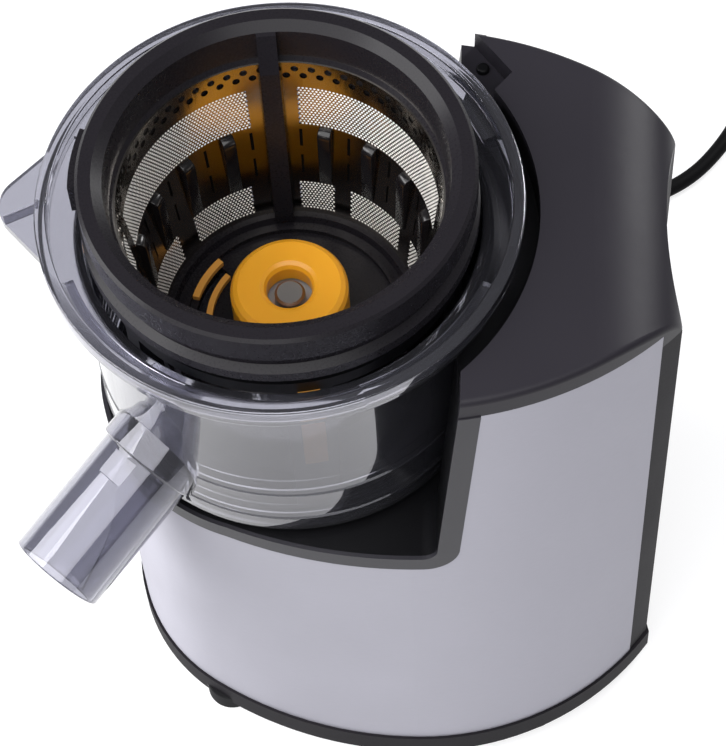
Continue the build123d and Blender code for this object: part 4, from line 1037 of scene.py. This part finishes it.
        # Hole floors: painted light on the inner skin, painted shade on the outer skin.
        hole = (PAINTED_HOLE_LIGHT if side is Side.INNER else SHADED).build()
        low, high = heights
        rise = self.pitch * math.sqrt(3) / 2
        middle_radius = self.radius_at((low + high) / 2)
        pieces = []
        for start, end in panels:
            width = math.radians(end - start) * middle_radius
            across = round(width / self.pitch)
            pairs = round((high - low) / rise) // 2
            cell = self.build_cell(hole)
            arrays = (
                (2, (self.pitch / 2, rise, 0)),
                (across, (self.pitch, 0, 0)),
                (pairs, (0, 2 * rise, 0)),
            )
            for count, offset in arrays:
                apply_modifier(
                    cell,
                    "ARRAY",
                    count=count,
                    use_relative_offset=False,
                    use_constant_offset=True,
                    constant_offset_displace=offset,
                )
            stretch = (end - start) / (self.pitch * (across + 0.5))
            lift = (high - low) / (rise * (pairs * 2))
            for vertex in cell.data.vertices:
                x, y, depth = vertex.co
                turn = start + (x + self.pitch / 2) * stretch
                height = low + (y + rise / 2) * lift
                skin = self.gauge / 2 + side.value * (self.gauge / 2 - self.sink + depth)
                vertex.co = polar(self.radius_at(height) + skin, turn, height)
            pieces.append(cell)
        panel = join(pieces, name)
        recalculate(panel, MERGE_SKIN)
        self.face_skin(panel, side)
        return panel

    def face_skin(self, panel: Piece, side: Side) -> None:
        """Turn the faces of an open skin so that they look away from the sheet's middle."""
        middle = spot(0, 0, 0)
        lean = 0.0
        for face in panel.data.polygons:
            out = face.center - middle
            out.z = 0
            lean += face.normal.dot(out.normalized()) * face.area
        if lean * side.value < 0:
            panel.data.flip_normals()

    def build_teeth(self) -> Piece:
        """Make the pressed teeth: one rounded tooth, copied round the cone.

        Returns:
            All teeth as one piece.
        """
        low, high = self.tooth_heights
        depth, width, knee = self.tooth_size
        toe_depth, toe_height = self.tooth_toe
        wall = self.radius_at(high) + self.tooth_root
        outline = [(wall, high), (wall - depth + knee, high)]
        steps = 5
        for step in range(1, steps + 1):
            angle = math.radians(90 * step / steps)
            radius = wall - depth + knee - knee * math.sin(angle)
            outline.append((radius, high - knee + knee * math.cos(angle)))
        outline.append((self.radius_at(low) - toe_depth, low + toe_height))
        outline.append((self.radius_at(low) + self.tooth_root, low))
        corners = [spot(radius, -width / 2, height) for radius, height in outline]
        tooth = extrude_outline("tooth", corners, Vector((0, width * MM, 0)))
        apply_modifier(
            tooth,
            "BEVEL",
            width=self.tooth_round * MM,
            segments=3,
            limit_method="ANGLE",
            angle_limit=1.2,
        )
        teeth = []
        for index in range(1, self.places):
            copy = tooth.copy()
            copy.data = tooth.data.copy()
            bpy.context.scene.collection.objects.link(copy)
            stand = self.tooth_turn + 360 / self.places * index
            turn = Matrix.Rotation(math.radians(stand), 4, "Z")
            place = Matrix.Translation(spot(0, 0, 0))
            copy.data.transform(place @ turn @ place.inverted())
            teeth.append(copy)
        bpy.data.objects.remove(tooth, do_unlink=True)
        piece = join(teeth, "strainer_teeth")
        smooth(piece, 40)
        dress(piece, GLOSS_BLACK)
        return piece

    def build(self, nodes: dict[str, Piece]) -> None:
        """Make the steel parts and dress the rest.

        Args:
            nodes: The frame's nodes by name.
        """
        for name, finish in self.finishes.items():
            dress(nodes[name], finish)
        teeth = self.build_teeth()
        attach(teeth, "strainer")
        sheet = self.build_sheet()
        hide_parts("strainer_cone")
        panels = [self.build_panel(row, side) for row in Row for side in Side]
        for piece in (sheet, *panels):
            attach(piece, "strainer")
        LOG.info("strainer built: sheet, %d perforated skins and teeth", len(panels))


# ---- Cord ----


@dataclass
class Cord:
    """Mains cord: a free stretch behind the base, a tied coil, a short tail and the plug.

    Attributes:
        radius: Radius of the sheath.
        exit: Where it leaves the strain relief.
        free: Route of the free stretch, from the exit.
        tail: Route from the coil to the plug, from the exit.
        middle: Middle of the coil, from the exit.
        turns: Radius and height of each turn of the coil.
        points_per_turn: Number of the route's points in a turn.
        coil_start: Turn of the coil's first point, in degrees.
        coil_short: Number of points that the last turn is short of a whole one.
        coil_shift: Number of points at a turn's end that lead over to the next turn.
    """

    radius: float = 3.0
    exit: tuple[float, float] = (80.0, 97.0)
    free: tuple = (
        (0, 0, 22),
        (0, 13, 22),
        (2, 27, 18.5),
        (8, 40, 12.5),
        (18, 50.5, 7.2),
        (31.5, 59, 4.2),
        (48, 65.5, 3.05),
        (63.5, 75, 3.05),
        (75.5, 89.5, 3.05),
        (84.5, 105.5, 3.05),
    )
    tail: tuple = (
        (166.5, 109, 9.0),
        (160.5, 94.5, 7.6),
        (155, 81, 7),
        (155, 68, 7),
    )
    middle: tuple[float, float] = (129.0, 135.0)
    turns: tuple = ((39, 3.6), (33, 3.6), (27, 3.6), (29.5, 8.6), (35.6, 8.6))
    points_per_turn: int = 16
    coil_start: float = 190.0
    coil_short: int = 7
    coil_shift: int = 3

    def coil(self) -> list[tuple[float, float, float]]:
        """Points of the coil's turns, clockwise from the side where the cord comes in.

        Returns:
            Places from the exit, in millimetres.
        """
        count = self.points_per_turn
        # The cord's spline, of order 3, runs inside its control points by this factor.
        pull = 0.75 + 0.25 * math.cos(2 * math.pi / count)
        points = []
        for index in range(len(self.turns) * count - self.coil_short):
            turn, step = divmod(index, count)
            radius, height = self.turns[turn]
            late = step - (count - self.coil_shift - 1)
            if late > 0 and turn + 1 < len(self.turns):
                share = late / (self.coil_shift + 1)
                radius += (self.turns[turn + 1][0] - radius) * share
                height += (self.turns[turn + 1][1] - height) * share
            angle = math.radians(self.coil_start - 360 * index / count)
            x = self.middle[0] + radius / pull * math.cos(angle)
            y = self.middle[1] + radius / pull * math.sin(angle)
            points.append((x, y, height))
        return points

    def build(self, nodes: dict[str, Piece]) -> Piece:
        """Lay the cord as one smooth tube and dress what is on it.

        Args:
            nodes: The frame's nodes by name.

        Returns:
            The cord.
        """
        route = list(self.free) + self.coil() + list(self.tail)
        curve = bpy.data.curves.new("mains_cord", "CURVE")
        curve.dimensions = "3D"
        curve.resolution_u = 6
        curve.bevel_depth = self.radius * MM
        curve.bevel_resolution = 5
        curve.use_fill_caps = True
        line = curve.splines.new("NURBS")
        line.points.add(len(route) - 1)
        for point, (x, y, z) in zip(line.points, route):
            point.co = (*spot(self.exit[0] + x, self.exit[1] + y, z), 1.0)
        line.order_u = 3
        line.use_endpoint_u = True
        cord = bpy.data.objects.new("mains_cord", curve)
        bpy.context.scene.collection.objects.link(cord)
        dress(cord, PVC)
        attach(cord, "base")
        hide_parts("power_cord", "cord_coil", "cord_tail")
        for name in ("cord_relief", "coil_tie", "power_plug"):
            dress(nodes[name], PVC)
        dress(nodes["plug_pins"], TURNED)
        LOG.info("cord laid with %d points", len(route))
        return cord


# ---- Studio ----


class Softbox(Enum):
    """The studio's lamps: place, aim, width, height and power."""

    TOP = ((-0.35, -0.75, 1.45), (0.0, 0.0, 0.15), 1.8, 1.8, 30.0)
    LEFT = ((-1.15, -0.15, 0.80), (0.0, 0.0, 0.15), 0.9, 1.2, 20.0)
    RIGHT_REAR = ((0.80, 0.85, 0.98), (0.05, 0.0, 0.2), 0.30, 0.8, 10.0)


@dataclass
class Studio:
    """Pale floor, soft lamps and the camera.

    Attributes:
        eye: Camera's place in millimetres about the drive axis.
        pan: Turn of the camera about the vertical, in degrees.
        tilt: Angle up from looking straight down, in degrees.
        roll: Turn about the line of sight, in degrees.
        focal_px: Focal length in pixels.
        frame_px: Width of the picture in pixels.
        sensor_mm: Width of the camera's sensor.
        room_level: Strength of the room's even light.
        backdrop_level: How bright the room itself looks.
        floor_m: Side of the floor, in metres.
        floor_glow: Brightness that the floor shows beyond its own lit colour.
    """

    eye: tuple[float, float, float] = (61.16, -458.11, 935.8)
    pan: float = 5.0
    tilt: float = 30.12
    roll: float = -4.13
    focal_px: float = 2800.0
    frame_px: float = 726.0
    sensor_mm: float = 36.0
    room_level: float = 0.24
    backdrop_level: float = 0.9
    floor_m: float = 8.0
    floor_glow: float = 0.72

    def place_camera(self) -> None:
        """Add the camera and make it the scene's."""
        data = bpy.data.cameras.new("camera")
        data.sensor_fit = "HORIZONTAL"
        data.sensor_width = self.sensor_mm
        data.lens = self.sensor_mm * self.focal_px / self.frame_px
        data.clip_start = 0.05
        data.clip_end = 20.0
        camera = bpy.data.objects.new("camera", data)
        bpy.context.scene.collection.objects.link(camera)
        turn = (
            Matrix.Rotation(math.radians(self.pan), 4, "Z")
            @ Matrix.Rotation(math.radians(self.tilt), 4, "X")
            @ Matrix.Rotation(math.radians(self.roll), 4, "Z")
        )
        camera.matrix_world = Matrix.Translation(spot(*self.eye)) @ turn
        bpy.context.scene.camera = camera

    def lay_floor(self) -> None:
        """Lay a pale floor that reads as white paper but keeps soft shadows."""
        deselect()
        bpy.ops.mesh.primitive_plane_add(size=self.floor_m, location=(0, 0, 0))
        floor = bpy.context.object
        floor.name = "paper_floor"
        material = bpy.data.materials.new("matt_white_paper")
        material.use_nodes = True
        tree = material.node_tree
        tree.nodes.clear()
        rays = add_node(tree, "ShaderNodeLightPath")
        seen = add_node(
            tree,
            "ShaderNodeMath",
            {"operation": "MAXIMUM"},
            {0: rays.outputs["Is Camera Ray"], 1: rays.outputs["Is Glossy Ray"]},
        )
        seen = add_node(
            tree,
            "ShaderNodeMath",
            {"operation": "MAXIMUM"},
            {0: seen.outputs[0], 1: rays.outputs["Is Transmission Ray"]},
        )
        paper = add_node(
            tree, "ShaderNodeBsdfDiffuse", {"Color": linear("#a8a8aa"), "Roughness": 0.6}
        )
        glow = add_node(tree, "ShaderNodeEmission", {"Color": (1, 1, 1, 1)})
        level = add_node(
            tree,
            "ShaderNodeMath",
            {"operation": "MULTIPLY", 1: self.floor_glow},
            {0: seen.outputs[0]},
        )
        tree.links.new(level.outputs[0], glow.inputs["Strength"])
        both = add_node(
            tree, "ShaderNodeAddShader", {}, {0: paper.outputs[0], 1: glow.outputs[0]}
        )
        add_node(tree, "ShaderNodeOutputMaterial", {}, {"Surface": both.outputs[0]})
        floor.data.materials.append(material)

    def hang_lamps(self) -> None:
        """Hang the softboxes and set the even light of the room."""
        for box in Softbox:
            place, aim, width, height, power = box.value
            data = bpy.data.lights.new(box.name.lower(), "AREA")
            data.shape = "RECTANGLE"
            data.size = width
            data.size_y = height
            data.energy = power
            lamp = bpy.data.objects.new(box.name.lower(), data)
            bpy.context.scene.collection.objects.link(lamp)
            lamp.location = place
            lamp.rotation_euler = (Vector(aim) - Vector(place)).to_track_quat("-Z", "Y").to_euler()
        world = bpy.data.worlds.new("room")
        bpy.context.scene.world = world
        world.use_nodes = True
        world.node_tree.nodes.clear()
        tree = world.node_tree
        rays = add_node(tree, "ShaderNodeLightPath")
        level = add_node(
            tree,
            "ShaderNodeMapRange",
            {"To Min": self.room_level, "To Max": self.backdrop_level},
            {"Value": rays.outputs["Is Camera Ray"]},
        )
        light = add_node(
            tree,
            "ShaderNodeBackground",
            {"Color": linear("#f4f5f8")},
            {"Strength": level.outputs[0]},
        )
        add_node(tree, "ShaderNodeOutputWorld", {}, {"Surface": light.outputs[0]})

    def build(self) -> None:
        """Set up camera, floor, lamps and the plain colour transform."""
        self.place_camera()
        self.lay_floor()
        self.hang_lamps()
        bpy.context.scene.view_settings.view_transform = "Standard"
        LOG.info("studio ready")


def main() -> None:
    """Load the frame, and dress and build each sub-assembly."""
    logging.basicConfig(level=logging.INFO)
    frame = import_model()
    nodes = frame["nodes"]
    Studio().build()
    Cord().build(nodes)
    Base().dress(nodes)
    Bowl().build(nodes)
    Wiper().dress(nodes)
    Strainer().build(nodes)


if __name__ == "__main__":
    main()
